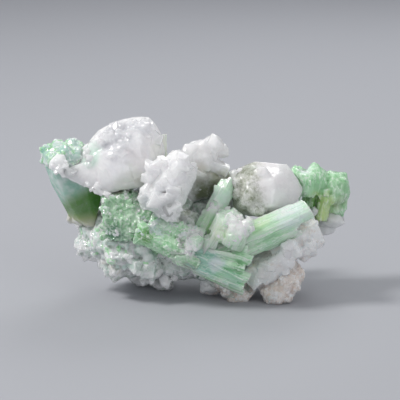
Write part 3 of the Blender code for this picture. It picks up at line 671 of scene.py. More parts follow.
def largeShift(points, normals):
    etched = np.clip(
        near(points, (-19.5, -6.5, 37.0), 5.5, 0.5) + near(points, (-16.0, -5.5, 38.8), 5.0, 0.5)
        + near(points, (-12.5, -4.0, 40.4), 4.0, 0.5), 0, 1,
    )
    crease, slant, _ = chips(points, 1.35, 11)
    fineCrease, fineSlant, _ = chips(points, 0.75, 12)
    bigSlant, stepSlant = chips(points, 4.6, 14)[1], chips(points, 2.4, 15)[1]
    depth = 0.04 + 0.22 * cloud(points, 6.0, 3) + (1 - etched) * (0.36 * bigSlant + 0.08 * stepSlant)
    depth = 0.12 + depth + etched * 0.26 * (np.clip(crease, 0, 0.4) * 1.6 - 0.3 + slant * 1.3)
    depth = depth + etched * 0.1 * (fineSlant + np.clip(fineCrease, 0, 0.3))
    depth = depth * (1 - 0.8 * near(points, (-20.9, -8.7, 34.9), 3.2))
    return normals * depth[:, None]


def onEtchedFace(points, normals):
    return (near(points, (-18.0, -6.0, 38.2), 5.5) > 0) | (near(points, (-12.5, -4.0, 40.4), 3.5) > 0)


largeFinish = quartzFinish("milkyQuartz", 0.04, 6.0, 0.25, face=4.5, broken=0.07, zones=[
    ((-14.6, -9.5, 27.5), 6.5, (0.84, 0.86, 0.77), 0.7),
    ((-17.5, -9, 31), 3.2, (0.8, 0.8, 0.83), 0.6),
    ((-22.5, -8, 28), 5.5, (0.95, 0.9, 0.92), 0.6),
    ((-8.5, -4, 33), 5, (0.87, 0.89, 0.82), 0.6),
    ((-18, -6, 38), 6.5, (0.6, 0.61, 0.635), 0.8),
    ((-12.5, -4, 40), 4, (0.68, 0.69, 0.72), 0.7),
    ((-24.5, -6.5, 34), 4.2, (0.72, 0.88, 0.78), 0.8),
])
largeCrystals = [
    loose("chip", 90, (0.6, 1.5), 0.78, 5, onEtchedFace),
    placed("chip", 6, [((-27.4, -7.3, 29), 0.9), ((-26.2, -7.3, 28.3), 0.8), ((-25, -7.6, 27.4), 0.9),
        ((-23.8, -7.8, 26.4), 0.8), ((-22.8, -8.2, 25.8), 0.9), ((-21.6, -8.8, 25.6), 0.8),
        ((-20.2, -9.2, 25.4), 0.9), ((-22.4, -8.4, 27), 1), ((-24.9, -5.5, 34.6), 1),
        ((-25.6, -5.2, 33.8), 0.9), ((-24.4, -6.6, 33.2), 0.9)], look=1),
    placed("block", 7, [((-24, -3.4, 35.2), 1.4), ((-22.7, -3.2, 36.9), 1.3), ((-21.6, -3.4, 37.6), 1.3),
        ((-20.2, -3, 38.4), 1.4), ((-18.6, -3.4, 39.6), 1.6), ((-16.8, -3, 40), 1.5),
        ((-14.6, -3.2, 40.1), 1.6), ((-12, -3, 40.2), 1.5), ((-10.6, -3.4, 39.2), 1.5),
        ((-9.6, -3, 38), 1.4), ((-8.6, -3.2, 36.6), 1.4)], squash=(0.7, 1.2)),
]
finished("largeQuartz", largeQuartzSizes, largeShift, [largeFinish, whiteQuartz], largeCrystals)

# the glassy nub at its left
leftNubSizes = {
    "node": "left_quartz_nub", "slot": "milky_quartz", "voxel": 0.18, "fine": 0.14, "smooth": 6, "sharp": 24,
    "chip": 1.5, "seed": 21, "planes": (30, (0.1, 0.4), 2.0),
}
finished("leftQuartzNub", leftNubSizes, crustShift(0.2, 0.1, 0.1, 1.4, 21), [clearQuartz, whiteGrains], [
    placed("chip", 22, [((-29, -7.8, 30.4), 1.1), ((-28, -7.6, 30.2), 1.2), ((-30.4, -8.2, 29.8), 0.9),
        ((-31.8, -8, 30.2), 0.8), ((-32.6, -7.4, 31.4), 0.8), ((-32.2, -7.4, 32.8), 0.7),
        ((-29.6, -7.8, 32.6), 0.8)], look=1),
    placed("chip", 23, [((-31, -8.4, 31), 1.3), ((-29.8, -8.2, 31.8), 1.1)]),
])

# the bright faceted crystals in the middle
centreSizes = {
    "node": "centre_quartz", "slot": "milky_quartz", "voxel": 0.2, "fine": 0.15, "smooth": 10, "ease": 2,
    "sharp": 30, "chip": 1.6, "seed": 33, "planes": (70, (0.15, 0.6), 3.5),
}


def onCentreRim(points, normals):
    rim = (points[:, 0] > -3.2) | (points[:, 0] < -13.4) | (points[:, 2] < 22.0)
    return rim & (normals[:, 1] < 0.3)


centreFinish = quartzFinish("facetedQuartz", 0.05, 5.0, 0.2, face=1.8, broken=0.22, zones=[
    ((-11, -14, 24.6), 3.4, (0.7, 0.75, 0.76), 0.65),
    ((-6, -15, 25), 3, (0.66, 0.68, 0.67), 0.75),
    ((-8.5, -14.8, 27.5), 2.4, (0.84, 0.86, 0.88), 0.6),
])
greyBeads = quartzFinish("greyBeads", 0.1, 1.4, 0.1, tint=(0.52, 0.53, 0.51), face=2.5, broken=0.03)
finished("centreQuartz", centreSizes, crustShift(0.1, 0.25, 0.14, 2.4, 33),
    [centreFinish, whiteGrains, greyBeads], [
    loose("chip", 44, (1.2, 2.4), 0.8, 31, facingFront, squash=(0.7, 1.2)),
    loose("chip", 30, (0.4, 0.9), 0.5, 32, onCentreRim, look=1),
    placed("chip", 36, [((-9.9, -11.8, 31.6), 2), ((-8.6, -11.6, 32.6), 2), ((-7, -11.8, 33.2), 1.9),
        ((-10.6, -12.2, 29.8), 1.9), ((-5.2, -12, 33), 1.6), ((-11.4, -13, 27.4), 1.7)],
        squash=(0.8, 1.2)),
    placed("bead", 34, [((-5.9, -14.8, 23.3), 2)], look=2, squash=(0.9, 1)),
    placed("chip", 35, [((-4.2, -15.8, 25.2), 0.6), ((-3.7, -15.6, 24.4), 0.7), ((-3.7, -15.5, 23.2), 0.7),
        ((-4.2, -15.7, 22.1), 0.6), ((-5.2, -16, 21.3), 0.6), ((-6.4, -16, 21.1), 0.6),
        ((-7.4, -15.8, 21.9), 0.6)], look=1),
])

# the rounded crystals behind them
rearSizes = {
    "node": "rear_quartz", "slot": "milky_quartz", "voxel": 0.22, "fine": 0.18, "smooth": 20, "sharp": 24,
    "chip": 2.5, "seed": 43, "planes": (60, (0.1, 0.5), 3.0),
}
rearFinish = quartzFinish("roundedQuartz", 0.04, 7.0, 0.2, face=2.6, broken=0.12, zones=[
    ((1, -2.5, 33.5), 4, (0.8, 0.79, 0.78), 0.6),
    ((5.9, -0.9, 26.8), 4.4, (0.5, 0.51, 0.38), 0.85),
    # painted shade: the dark hollow under the rounded crystals
    ((2.3, 0, 24), 4.2, (0.22, 0.24, 0.14), 0.95),
    ((0.4, -3, 28.5), 3.6, (0.72, 0.7, 0.63), 0.7),
    ((6.5, 1.5, 33.5), 3.4, (0.93, 0.88, 0.86), 0.6),
])
finished("rearQuartz", rearSizes, crustShift(0.0, 0.2, 0.12, 3.6, 43), [rearFinish, whiteGrains], [
    placed("pebble", 46, [((-1.2, -1.6, 33.2), 3), ((1.4, -0.8, 34), 2.6), ((3.8, 0.8, 35), 2.7),
        ((5.8, 1.2, 33.2), 2.3), ((2.4, -2, 31.4), 2.6), ((0.2, -3, 28.8), 2.2)], squash=(0.95, 1.1)),
    placed("block", 45, [((5.2, -1.4, 30), 1.7)], axis=(1, -0.1, -0.35), spread=0.02,
        stretch=(0.9, 1.0, 1.9)),
    loose("chip", 14, (0.5, 1.1), 0.5, 44, facingFront, look=1),
])

# the right-hand crystal, pitted with dark specks on its left half
rightQuartzSizes = {
    "node": "right_quartz", "slot": "grey_quartz", "voxel": 0.24, "fine": 0.18, "smooth": 20, "sharp": 24,
    "chip": 2.0, "seed": 53, "planes": (60, (0.15, 0.7), 5.0),
}


def speckledHalf(made, colour):
    side = made.along((1, -0.15, 0.25), 20.6, 24.6)
    specks = made.ranged(made.noise(1.3, 6, 0.75), 0.48, 0.6)
    fineSpecks = made.ranged(made.noise(0.7, 4, 0.7), 0.52, 0.62)
    veil = made.ranged(made.noise(3.0, 3), 0.3, 0.55)
    colour = made.mix((1 - side) * (0.35 + veil * 0.6), colour, (0.47, 0.49, 0.41))
    colour = made.mix((1 - side) * specks * 0.75, colour, (0.22, 0.25, 0.16))
    colour = made.mix((1 - side) * fineSpecks * 0.5, colour, (0.84, 0.85, 0.8))
    return made.mix(side * 0.5, colour, (0.93, 0.89, 0.89))


def pittedShift(points, normals):
    left = np.clip((19.0 - points[:, 0]) / 5.0, 0, 1)
    slant = chips(points, 1.1, 54)[1]
    depth = 0.12 + 0.24 * cloud(points, 4.5, 53) + (0.03 + 0.08 * left) * cloud(points, 1.3, 55, 2)
    depth = depth + left * 0.1 * slant
    return normals * depth[:, None]


speckledQuartz = quartzFinish("speckledQuartz", 0.06, 6.0, 0.4, face=3.0, broken=0.14, zones=[
    ((11.8, -3, 30), 3, (0.5, 0.6, 0.46), 0.8),
], extra=speckledHalf)
finished("rightQuartz", rightQuartzSizes, pittedShift, [speckledQuartz, whiteGrains], [
    placed("pebble", 56, [((8.6, -1.8, 28.6), 1.3), ((7.6, -3, 27.2), 1), ((10, -1.6, 29), 1)],
        look=1),
])

# the pale crystal at the foot of the long prism
capSizes = {
    "node": "pale_quartz_cap", "slot": "milky_quartz", "voxel": 0.2, "fine": 0.14, "smooth": 6, "sharp": 22,
    "chip": 1.4, "seed": 63, "planes": (60, (0.15, 0.6), 3.0),
}
capFinish = tourmalineFinish("paleGreenQuartz", (0.55, -0.2, 1.0), [
    ((5.2, -14.5, 18), 3.6, (0.78, 0.94, 0.66), 0.7),
    ((9.5, -14.5, 19.6), 4.2, (0.97, 1, 0.96), 1),
    ((7, -14.8, 15.2), 2.2, (0.6, 0.84, 0.62), 0.7),
], glow=5.0, lines=0.4, paleness=1.3)
finished("paleQuartzCap", capSizes, crustShift(0.15, 0.4, 0.45, 2.2, 63), [capFinish, whiteGrains], [
    loose("chip", 16, (1.4, 2.6), 0.72, 61, facingFront, axis=(0.55, -0.2, 1.0), spread=0.12,
        stretch=(0.9, 0.8, 1.3)),
    loose("chip", 26, (0.4, 0.9), 0.5, 62, facingFront, look=1),
    placed("pebble", 64, [((7.2, -9.5, 22), 1.1), ((8.4, -10, 21.3), 1)], look=1),
])

# the small crystals at the right and at the back
rightNubSizes = {
    "node": "right_quartz_nub", "slot": "milky_quartz", "voxel": 0.2, "smooth": 6, "sharp": 60, "chip": 1.5,
    "seed": 71,
}
finished("rightQuartzNub", rightNubSizes, crustShift(0.1, 0.12, 0.1, 1.6, 71),
    [quartzFinish("bluishQuartz", 0.05, 7.0, 0.3, tint=(0.92, 0.96, 0.98), broken=0.15)])

rearPointSizes = {
    "node": "rear_quartz_point", "slot": "milky_quartz", "voxel": 0.22, "smooth": 2, "sharp": 28, "chip": 2.0,
    "seed": 81,
}
finished("rearQuartzPoint", rearPointSizes, crustShift(0.06, 0.05, 0.05, 2.0, 81),
    [quartzFinish("pointQuartz", 0.06, 3.0, 0.3)])


# tourmaline prisms, each with the axes that its ribs follow: start, end and width

axesShift = np.array((0.22, -0.97, 0))  # where the axes' own origin lies


def prismShift(axes, depth, seed, swell=0.1):
    lines = [(np.array(start) + axesShift, np.array(end) + axesShift, width) for start, end, width in axes]

    def shift(points, normals):
        best = np.full(len(points), 1e9)
        moved = np.zeros(len(points), np.float32)
        for index, (start, end, width) in enumerate(lines):
            along = (end - start) / np.linalg.norm(end - start)
            travel = (points - start) @ along
            across = points - start - travel[:, None] * along
            reach = np.sqrt((across ** 2).sum(axis=1)) / width + 1e-6
            outside = np.clip(-travel, 0, None) + np.clip(travel - np.linalg.norm(end - start), 0, None)
            score = reach + outside * 0.5
            around = across / (reach * width)[:, None]
            folded = around * (width * 2.2) + along * (travel * 0.05)[:, None] + index * 17.3
            folded = folded.astype(np.float32)
            ribs = cloud(folded, 1.0, seed + index, 2) + 0.6 * cloud(folded, 0.42, seed + 5, 1)
            flank = np.clip(1.3 - np.abs(normals @ along) * 1.8, 0, 1)
            cracks, _, _ = chips((along * travel[:, None] + across * 0.25).astype(np.float32), 3.2, seed + 9)
            height = ribs * depth * flank - 0.14 * np.clip(0.06 - cracks, 0, 0.06) / 0.06
            closer = score < best
            best = np.where(closer, score, best)
            moved = np.where(closer, height, moved)
        return normals * (swell + moved + 0.03 * cloud(points, 0.6, seed))[:, None]
    return shift


longAxis = (21.9, 2.2, 9.8)
longAxes = [
    ((3.5, -11.2, 12.2), (25.4, -9, 22), 5),
    ((8, -10.6, 16.2), (24.6, -8.4, 22.7), 3.4),
    ((6.5, -10.2, 10.6), (22.2, -8.6, 17.4), 4),
]
longSizes = {
    "node": "long_tourmaline", "slot": "green_tourmaline", "voxel": 0.16, "smooth": 1, "sharp": 28, "chip": 1.2,
    "seed": 103,
}
longFinish = tourmalineFinish("longPrism", longAxis, [
    ((13.5, -12, 20.3), 4, tourmaline["yellow"], 0.5),
    ((5, -13.5, 13.5), 6, tourmaline["mint"], 0.7),
    ((17, -12, 14.2), 4, (0.34, 0.62, 0.4), 0.5),
    ((21.5, -12, 21), 5, (0.8, 0.99, 0.88), 0.9),
], paleness=0.95, glow=3.4)
finished("longTourmaline", longSizes, prismShift(longAxes, 0.14, 101), [longFinish], [
    loose("prism", 46, (0.3, 0.75), 0.5, 102, within(x=(6, 21), front=0.2), axis=longAxis, spread=0.03,
        stretch=(1.0, 0.7, 7.0)),
    placed("prism", 104, [((17.5, -12.2, 18.6), 0.9), ((16, -12.6, 17.2), 0.8), ((18.5, -11.6, 20.6), 0.8),
        ((14.5, -12.4, 18.6), 0.7)], axis=longAxis, spread=0.02, stretch=(1, 0.8, 6)),
])

uprightAxes = [((0.2, -8.6, 13.8), (3.8, -6.6, 21.2), 5.6), ((2.6, -6.8, 18.8), (7.0, -4.0, 26.6), 5.2)]
uprightSizes = {
    "node": "upright_tourmaline", "slot": "green_tourmaline", "voxel": 0.16, "smooth": 5, "sharp": 30,
    "chip": 1.2, "seed": 113,
}
uprightFinish = tourmalineFinish("uprightPrism", (4.4, 2.8, 7.8), [
    ((5.5, -7, 24), 3.5, (0.74, 0.98, 0.8), 0.9),
    ((4, -8.6, 22.2), 2.6, tourmaline["white"], 0.8),
    ((2.6, -9.6, 19.4), 2.4, (0.62, 0.92, 0.6), 0.8),
    ((3.4, -9.8, 17), 2.4, (0.62, 0.92, 0.46), 0.8),
], lines=0.3, paleness=0.85, glow=3.0)
finished("uprightTourmaline", uprightSizes, prismShift(uprightAxes, 0.08, 111), [uprightFinish, whiteGrains], [
    placed("chip", 114, [((3.6, -8.6, 22.6), 0.9), ((4.6, -8.8, 22.2), 0.8), ((2.8, -8.4, 21.8), 0.7)], look=1),
    placed("block", 116, [((5.6, -6.4, 24.4), 2.4)], axis=(4.4, 2.8, 7.8), spread=0.02,
        stretch=(1.15, 0.8, 1.0)),
    loose("chip", 10, (0.9, 1.7), 0.7, 115, facingFront, axis=(4.4, 2.8, 7.8), spread=0.08,
        stretch=(0.9, 0.7, 1.8)),
])

sprayAxis = (13.0, -0.8, -4.6)
sprayAxes = [
    ((-1.6, -11.4, 14.8), (11.4, -12, 13.4), 3.6),
    ((-1.4, -12.2, 13.6), (12.2, -13, 11.2), 3),
    ((-1.8, -12.6, 12.4), (10.6, -13.6, 9.4), 2.6),
    ((-2.2, -12.2, 11.6), (11.4, -12.8, 6.8), 3.2),
    ((-1, -11.4, 10), (10.4, -11.6, 4.8), 3),
    ((-0.6, -10, 9), (8, -10.2, 4.6), 2.6),
]
spraySizes = {
    "node": "tourmaline_spray", "slot": "green_tourmaline", "voxel": 0.16, "smooth": 1, "sharp": 28,
    "chip": 1.2, "seed": 123,
}
sprayFinish = tourmalineFinish("prismSpray", sprayAxis, [
    ((2, -14.5, 10.8), 5.5, tourmaline["blue"], 0.9),
    # painted highlight on the blades
    ((4.5, -14.8, 10.3), 2.4, (0.82, 0.92, 0.93), 0.8),
    ((9.5, -14.6, 9.4), 2.6, tourmaline["deep"], 0.75),
    ((8, -14.2, 7), 3.5, (0.5, 0.8, 0.64), 0.7),
], paleness=0.5, glow=3.0)
finished("tourmalineSpray", spraySizes, prismShift(sprayAxes, 0.14, 121), [sprayFinish], [
    loose("prism", 34, (0.35, 0.9), 0.55, 122, within(x=(-99, 7.5), z=(10.5, 99), front=0.1),
        axis=(13.0, -0.6, -2.2), spread=0.04, stretch=(1.0, 0.7, 5.5)),
    loose("prism", 26, (0.5, 1.1), 0.55, 124, within(x=(-99, 7), z=(-99, 10.5), front=0.1),
        axis=(13.0, -0.8, -6.0), spread=0.04, stretch=(1.3, 0.7, 5.5)),
])

middleAxes = [
    ((-13.6, -10.2, 17.4), (0.6, -12.2, 10.8), 5.8),
    ((-10.6, -9.4, 19.6), (1, -10.8, 15.4), 4.6),
    ((-8.4, -11.6, 15.4), (-0.6, -13, 12.6), 2.8),
]
middleSizes = {
    "node": "middle_tourmaline", "slot": "green_tourmaline", "voxel": 0.16, "fine": 0.14, "smooth": 2,
    "sharp": 20, "chip": 1.1, "seed": 135, "grit": (0.8, 0.04),
}


def onMiddleTop(points, normals):
    return (normals[:, 1] < 0.3) & (normals[:, 2] > 0.1) & (points[:, 2] > 16.5)


def onWhitePatch(points, normals):
    return (near(points, (-0.9, -14.0, 15.6), 3.6) > 0) & (normals[:, 1] < 0.3)


middleFinish = tourmalineFinish("middlePrism", (14.2, -2.0, -6.6), [
    ((-11.6, -13.2, 17), 2.6, (0.24, 0.5, 0.16), 0.8),
    ((-0.9, -14.6, 14.6), 3.2, (0.95, 1, 0.97), 1),
    ((-0.6, -13.2, 16.8), 2.8, (0.95, 1, 0.97), 1),
    ((-8, -13, 19), 2.6, (0.74, 0.82, 0.76), 0.6),
], lines=0.5, grainy=0.35, paleness=0.45)
finished("middleTourmaline", middleSizes, prismShift(middleAxes, 0.22, 133),
    [middleFinish, whiteGrains, bluishGrains], [
    loose("chip", 120, (0.4, 0.95), 0.6, 131, onMiddleTop, look=2),
    loose("chip", 110, (0.35, 0.8), 0.5, 132, facingFront),
    loose("block", 26, (0.9, 1.9), 0.7, 137, facingFront),
    loose("chip", 60, (0.3, 0.75), 0.3, 136, onWhitePatch, look=1),
])

needleAxes = [((-7.0, 2.6, 26.0), (-7.5, 2.6, 37.2), 0.9)]
needleSizes = {
    "node": "tourmaline_needle", "slot": "green_tourmaline", "voxel": 0.08, "smooth": 0, "sharp": 30,
    "chip": 1.0, "seed": 143,
}
needleFinish = tourmalineFinish("needlePrism", (0, 0, 1), [((-7.0, 1.6, 33.0), 9.0, (0.8, 0.86, 0.66), 0.9)])
finished("tourmalineNeedle", needleSizes, prismShift(needleAxes, 0.03, 141, 0.0), [needleFinish, whiteQuartz], [
    placed("prism", 142, [((-7.5, 1.5, 34), 0.42)], axis=(0.14, 0, -1), spread=0, stretch=(1.3, 0.8, 7.6)),
    placed("prism", 144, [((-8.1, 1.4, 34.4), 0.36)], look=1, axis=(0.06, 0, -1), spread=0,
        stretch=(1.3, 0.8, 7.0)),
])

rearAxis = (19.0, 4.4, 10.6)
rearAxes = [
    ((-6, 11, 11), (13, 15.4, 21.6), 5),
    ((-2, 12.4, 9.4), (11, 16.4, 12.6), 3.6),
    ((-1, 9.6, 14.4), (7.6, 13, 24.6), 3.4),
]
rearPrismSizes = {
    "node": "rear_tourmaline", "slot": "green_tourmaline", "voxel": 0.18, "smooth": 1, "sharp": 30, "chip": 1.2,
    "seed": 153,
}
rearPrismFinish = tourmalineFinish("rearPrism", rearAxis)


def onRearFlank(points, normals):
    return (normals[:, 1] > -0.2) & (points[:, 0] < 9.0)


finished("rearTourmaline", rearPrismSizes, prismShift(rearAxes, 0.14, 151), [rearPrismFinish], [
    loose("prism", 50, (0.35, 0.8), 0.5, 152, onRearFlank, axis=rearAxis, spread=0.06, stretch=(1.0, 0.7, 5.0)),
])

# the sugary block of tourmaline
sugarSizes = {
    "node": "sugar_tourmaline", "slot": "green_tourmaline", "voxel": 0.2, "fine": 0.145, "smooth": 2,
    "sharp": 16, "chip": 0.9, "seed": 163, "grit": (0.8, 0.06),
}


def onSugarSides(points, normals):
    return (normals[:, 1] < 0.3) & ((points[:, 0] < -18.5) | (points[:, 0] > -13.5))


sugarFinish = tourmalineFinish("sugaryTourmaline", (0.2, -0.3, 1.0), [
    ((-19, -11, 16.6), 3, (0.1, 0.28, 0.17), 0.9),
    ((-16.5, -10, 15), 2.6, (0.14, 0.34, 0.2), 0.7),
    ((-17.5, -6.5, 25), 2.8, (0.6, 0.62, 0.42), 0.7),
], clear=0.2, glow=1.0, lines=0.3, grainy=0.8, paleness=0.55)
finished("sugaryTourmaline", sugarSizes, crustShift(-0.05, 0.3, 0.2, 1.6, 163),
    [sugarFinish, whiteGrains, bluishGrains], [
    loose("chip", 200, (0.5, 1.2), 0.75, 161, facingFront),
    loose("prism", 90, (0.25, 0.5), 0.5, 162, within(z=(18, 99), front=0.3), axis=(0.1, -0.2, 1), spread=0.25,
        stretch=(1.0, 1.0, 2.6)),
    loose("chip", 130, (0.25, 0.6), 0.4, 164, onSugarSides, look=2),
    loose("chip", 60, (0.2, 0.5), 0.1, 165, facingFront, look=1),
])

# the deep green crystal at the far left, under its sugary crust
leftSizes = {
    "node": "left_tourmaline", "slot": "deep_tourmaline", "voxel": 0.22, "fine": 0.16, "smooth": 5, "sharp": 20,
    "chip": 1.0, "seed": 173,
}


def zonedGreen(made, colour):
    colour = made.mix(made.along((0.55, -0.2, -1.0), -40.5, -36.5), colour, (0.1, 0.28, 0.04))
    colour = made.mix(made.along((0.1, 0.0, -1.0), -23.0, -20.5), colour, (0.36, 0.44, 0.2))
    colour = made.mix(made.along((0.1, 0.0, -1.0), -21.4, -18.5), colour, (0.7, 0.68, 0.56))
    return colour


oliveQuartz = quartzFinish("oliveQuartz", 0.2, 1.6, 0.4, tint=(0.66, 0.65, 0.52))
leftFinish = quartzFinish(
    "deepTourmaline", 0.1, 2.4, 0.2, tint=(0.34, 0.62, 0.5), extra=zonedGreen, face=5.0, broken=0.02,
)
finished("leftTourmaline", leftSizes, crustShift(0.08, 0.16, 0.05, 2.4, 173),
    [leftFinish, greenGrains, bluishGrains, oliveQuartz], [
    loose("chip", 420, (0.3, 0.85), 0.75, 171, within(z=(29.8, 99)), look=1),
    loose("chip", 260, (0.25, 0.7), 0.6, 172, within(z=(30.2, 99)), look=2),
    placed("pebble", 174, [((-27.2, -0.6, 17.6), 2.2), ((-24.6, -1, 17.2), 2.2), ((-29, 1.4, 17.4), 1.8)],
        look=3),
])

# the block, streak, stem and round lobe at the right
rightSizes = {
    "node": "right_tourmaline", "slot": "green_tourmaline", "voxel": 0.2, "fine": 0.17, "smooth": 4,
    "sharp": 24, "chip": 1.4, "seed": 183,
}
rightFinish = tourmalineFinish("rightPrism", (0.1, 0.05, 1.0), [
    ((33.5, 3.5, 23), 5, (0.36, 0.62, 0.36), 0.7),
    ((29.2, 1.4, 19.4), 5.4, (0.58, 0.74, 0.3), 0.9),
    # painted shade in the gap between the prisms
    ((26.5, 2.8, 20.4), 2.6, (0.12, 0.34, 0.06), 0.9),
    # painted highlight: a shiny white streak down the prism
    ((28.6, 1.6, 27.4), 1.1, (0.94, 0.99, 0.95), 1),
    ((29.2, 1.4, 26), 1.1, (0.94, 0.99, 0.95), 1),
    ((29.4, 1.2, 24.4), 1.5, (0.94, 0.99, 0.95), 1),
    ((25.5, 3, 29), 2.8, (0.8, 0.93, 0.86), 0.8),
    ((28.6, 1.6, 28.8), 2, (0.84, 0.96, 0.86), 0.8),
    ((34, 4, 20), 3, (0.5, 0.6, 0.42), 0.6),
], lines=0.35, paleness=0.25)
finished("rightTourmaline", rightSizes, crustShift(0.05, 0.2, 0.16, 1.8, 183), [rightFinish], [
    loose("pebble", 34, (0.8, 1.7), 0.65, 181, within(x=(-99, 29), z=(22, 99))),
    loose("pebble", 50, (0.7, 1.5), 0.68, 184, within(x=(29.5, 99))),
    loose("prism", 26, (0.3, 0.6), 0.5, 185, within(z=(-99, 21), front=0.3), axis=(0.05, 0.0, 1), spread=0.06,
        stretch=(1.0, 0.8, 5.0)),
])

# the pale shelf and the pinkish foot
shelfSizes = {
    "node": "feldspar_shelf", "slot": "pink_feldspar", "voxel": 0.2, "fine": 0.17, "smooth": 5, "sharp": 22,
    "chip": 2.4, "seed": 193, "planes": (80, (0.15, 0.6), 3.0),
}
shelfFinish = feldsparFinish("paleFeldspar", 1.0, 0.05, 0.4, zones=[
    ((14.5, -11.4, 8), 4, (0.92, 0.88, 0.85), 0.6),
    ((21.5, -11, 12), 4, (0.97, 0.97, 0.98), 0.9),
])
finished("feldsparShelf", shelfSizes, crustShift(0.05, 0.2, 0.22, 2.6, 193), [shelfFinish, whiteQuartz], [
    loose("block", 40, (0.9, 2.2), 0.65, 191, facingFront),
    loose("pebble", 60, (0.5, 1.3), 0.6, 192, everywhere),
    placed("block", 194, [((21.2, -10.6, 12), 1.5)], look=1),
    loose("chip", 30, (0.7, 1.6), 0.6, 195, within(x=(15, 99), z=(7, 99), front=0.3), look=1),
])

footSizes = {
    "node": "feldspar_foot", "slot": "pink_feldspar", "voxel": 0.2, "fine": 0.16, "smooth": 3, "sharp": 20,
    "chip": 1.4, "seed": 203, "grit": (0.9, 0.07), "planes": (60, (0.1, 0.4), 2.5),
}
footFinish = feldsparFinish("pinkFeldspar", 0.15, 0.35, 0.7)
finished("feldsparFoot", footSizes, crustShift(0.05, 0.3, 0.2, 1.6, 203), [footFinish, beigeGrains], [
    loose("pebble", 120, (0.5, 1.3), 0.5, 201, everywhere),
    loose("chip", 90, (0.3, 0.7), 0.3, 202, everywhere, look=1),
])

# the granular mass that carries them all
matrixSizes = {
    "node": "matrix", "slot": "granular_quartz", "voxel": 0.3, "fine": 0.29, "smooth": 2, "sharp": 16,
    "chip": 1.3, "seed": 213, "grit": (1.2, 0.08), "planes": (160, (0.15, 0.7), 3.0),
}
matrixFinish = rockFinish("granularQuartz", [
    ((-19.5, -7.5, 6.5), 5, rock["beige"], 0.9),
    ((9, -8.5, 2.5), 7.5, (0.7, 0.6, 0.53), 0.9),
    ((1.6, -8, 5.6), 2.8, (0.1, 0.24, 0.15), 0.9),
    ((-2, -6.5, 20.4), 4, (0.58, 0.56, 0.45), 0.9),
    ((-14, -9.8, 8), 3, (0.55, 0.66, 0.58), 0.7),
    ((-26.5, 1, 14), 3.5, (0.86, 0.85, 0.86), 0.8),
])


def onBelly(low, right=1):  # the granular front, from a height up and from a line to the left
    return within(x=(-99, right), y=(-99, 2), z=(low, 17))


def onPepperedPart(points, normals):
    return (near(points, (-8.0, -9.5, 10.5), 6.5, 0.6) > 0.1) | (points[:, 1] > 2)


finished("granularMatrix", matrixSizes, crustShift(0.1, 0.4, 0.35, 2.4, 213),
    [matrixFinish, whiteGrains, clearGrains, greenGrains, beigeGrains, bluishGrains], [
    loose("chip", 420, (0.7, 2.0), 0.7, 211, everywhere),
    loose("chip", 110, (0.6, 1.8), 0.65, 212, onBelly(6.5), look=5),
    loose("chip", 70, (1.0, 2.4), 0.65, 214, onBelly(5), look=2),
    loose("chip", 120, (0.5, 1.3), 0.6, 215, onBelly(9.5), look=3),
    loose("pebble", 70, (1.0, 2.6), 0.65, 216, within(x=(2.5, 99), y=(-99, 4), z=(-99, 7.5)), look=4),
    loose("pebble", 30, (1.2, 2.6), 0.7, 220, within(x=(-99, -15.5), y=(-99, 4), z=(-99, 7.5))),
    loose("chip", 26, (0.8, 1.7), 0.65, 221, onBelly(6.5, -17), look=1),
    loose("chip", 160, (0.4, 1.2), 0.55, 217, onPepperedPart, look=1),
    placed("bead", 218, [((-12.2, -9.6, 12.6), 1.8), ((-11, -10.2, 11), 1.4)], look=2),
    placed("pebble", 219, [((-7.2, -6.6, 4.4), 2), ((-10.2, -8.2, 5.2), 1.7), ((-5.2, -6.8, 5), 1.5)],
        look=1),
])


# floor, lights and camera

studio = {
    "floor": (0.4, 0.41, 0.44),
    "cloudy": (0.39, 0.4, 0.44),
    "halfWidth": 0.9,
    "wallHeight": 1.2,
    "bend": 0.3,
    "lights": {  # place, size, power and colour
        "key": ((-0.415, -0.06, 0.465), 0.16, 2.5, (1.0, 0.985, 0.965)),
        "fill": ((0.4, -0.45, 0.25), 0.4, 0.5, (0.96, 0.97, 1.0)),
        "rim": ((0.12, 0.42, 0.36), 0.3, 0.7, (1.0, 1.0, 1.0)),
    },
    "sky": (0.89, 0.9, 0.92),
    "skyStrength": 0.58,
}

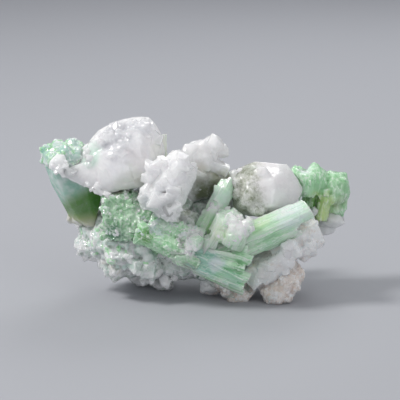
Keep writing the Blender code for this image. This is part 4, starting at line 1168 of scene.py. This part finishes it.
stand = bmesh.new()
bmesh.ops.create_grid(stand, x_segments=1, y_segments=1, size=studio["halfWidth"])
backEdge = max(stand.edges, key=lambda edge: edge.verts[0].co.y + edge.verts[1].co.y)
raised = bmesh.ops.extrude_edge_only(stand, edges=[backEdge])["geom"]
corners = [item for item in raised if isinstance(item, bmesh.types.BMVert)]
bmesh.ops.translate(stand, vec=(0, 0.02, studio["wallHeight"]), verts=corners)
bmesh.ops.bevel(
    stand, geom=[backEdge], offset=studio["bend"], segments=12, profile=0.5, affect="EDGES", material=-1,
)
floorMesh = bpy.data.meshes.new("studioFloor")
stand.to_mesh(floorMesh)
stand.free()
for face in floorMesh.polygons:
    face.use_smooth = True
floor = linked("studioFloor", floorMesh)
floorFinish = Finish("paleFloor", {"Roughness": 0.7})
tone = floorFinish.mix(floorFinish.noise(60, 3) * 0.3, studio["floor"], studio["cloudy"])
floorMesh.materials.append(floorFinish.use(Base_Color=tone))

for name, (spot, size, power, colour) in studio["lights"].items():
    data = bpy.data.lights.new(name, "AREA")
    data.shape = "DISK"
    data.size = size
    data.energy = power
    data.color = colour
    light = linked(name, data)
    light.location = spot
    light.rotation_euler = (Vector((0, 0, 0.02)) - Vector(spot)).to_track_quat("-Z", "Y").to_euler()

world = bpy.data.worlds.new("studio")
world.use_nodes = True
world.node_tree.nodes["Background"].inputs["Color"].default_value = (*studio["sky"], 1)
world.node_tree.nodes["Background"].inputs["Strength"].default_value = studio["skyStrength"]
bpy.context.scene.world = world
bpy.context.scene.view_settings.view_transform = "Standard"

view = {"target": (0.8, -0.97, 22.2), "elevation": 13.0, "distance": 450.0, "lens": 175.0}
cameraData = bpy.data.cameras.new("camera")
cameraData.lens = view["lens"]
cameraData.sensor_width = 36.0
cameraData.clip_start = 0.02
camera = linked("camera", cameraData)
tilt = math.radians(view["elevation"])
back = Vector((0, -math.cos(tilt), math.sin(tilt)))
camera.location = (Vector(view["target"]) + back * view["distance"]) * mm
camera.rotation_euler = (-back).to_track_quat("-Z", "Y").to_euler()
bpy.context.scene.camera = camera
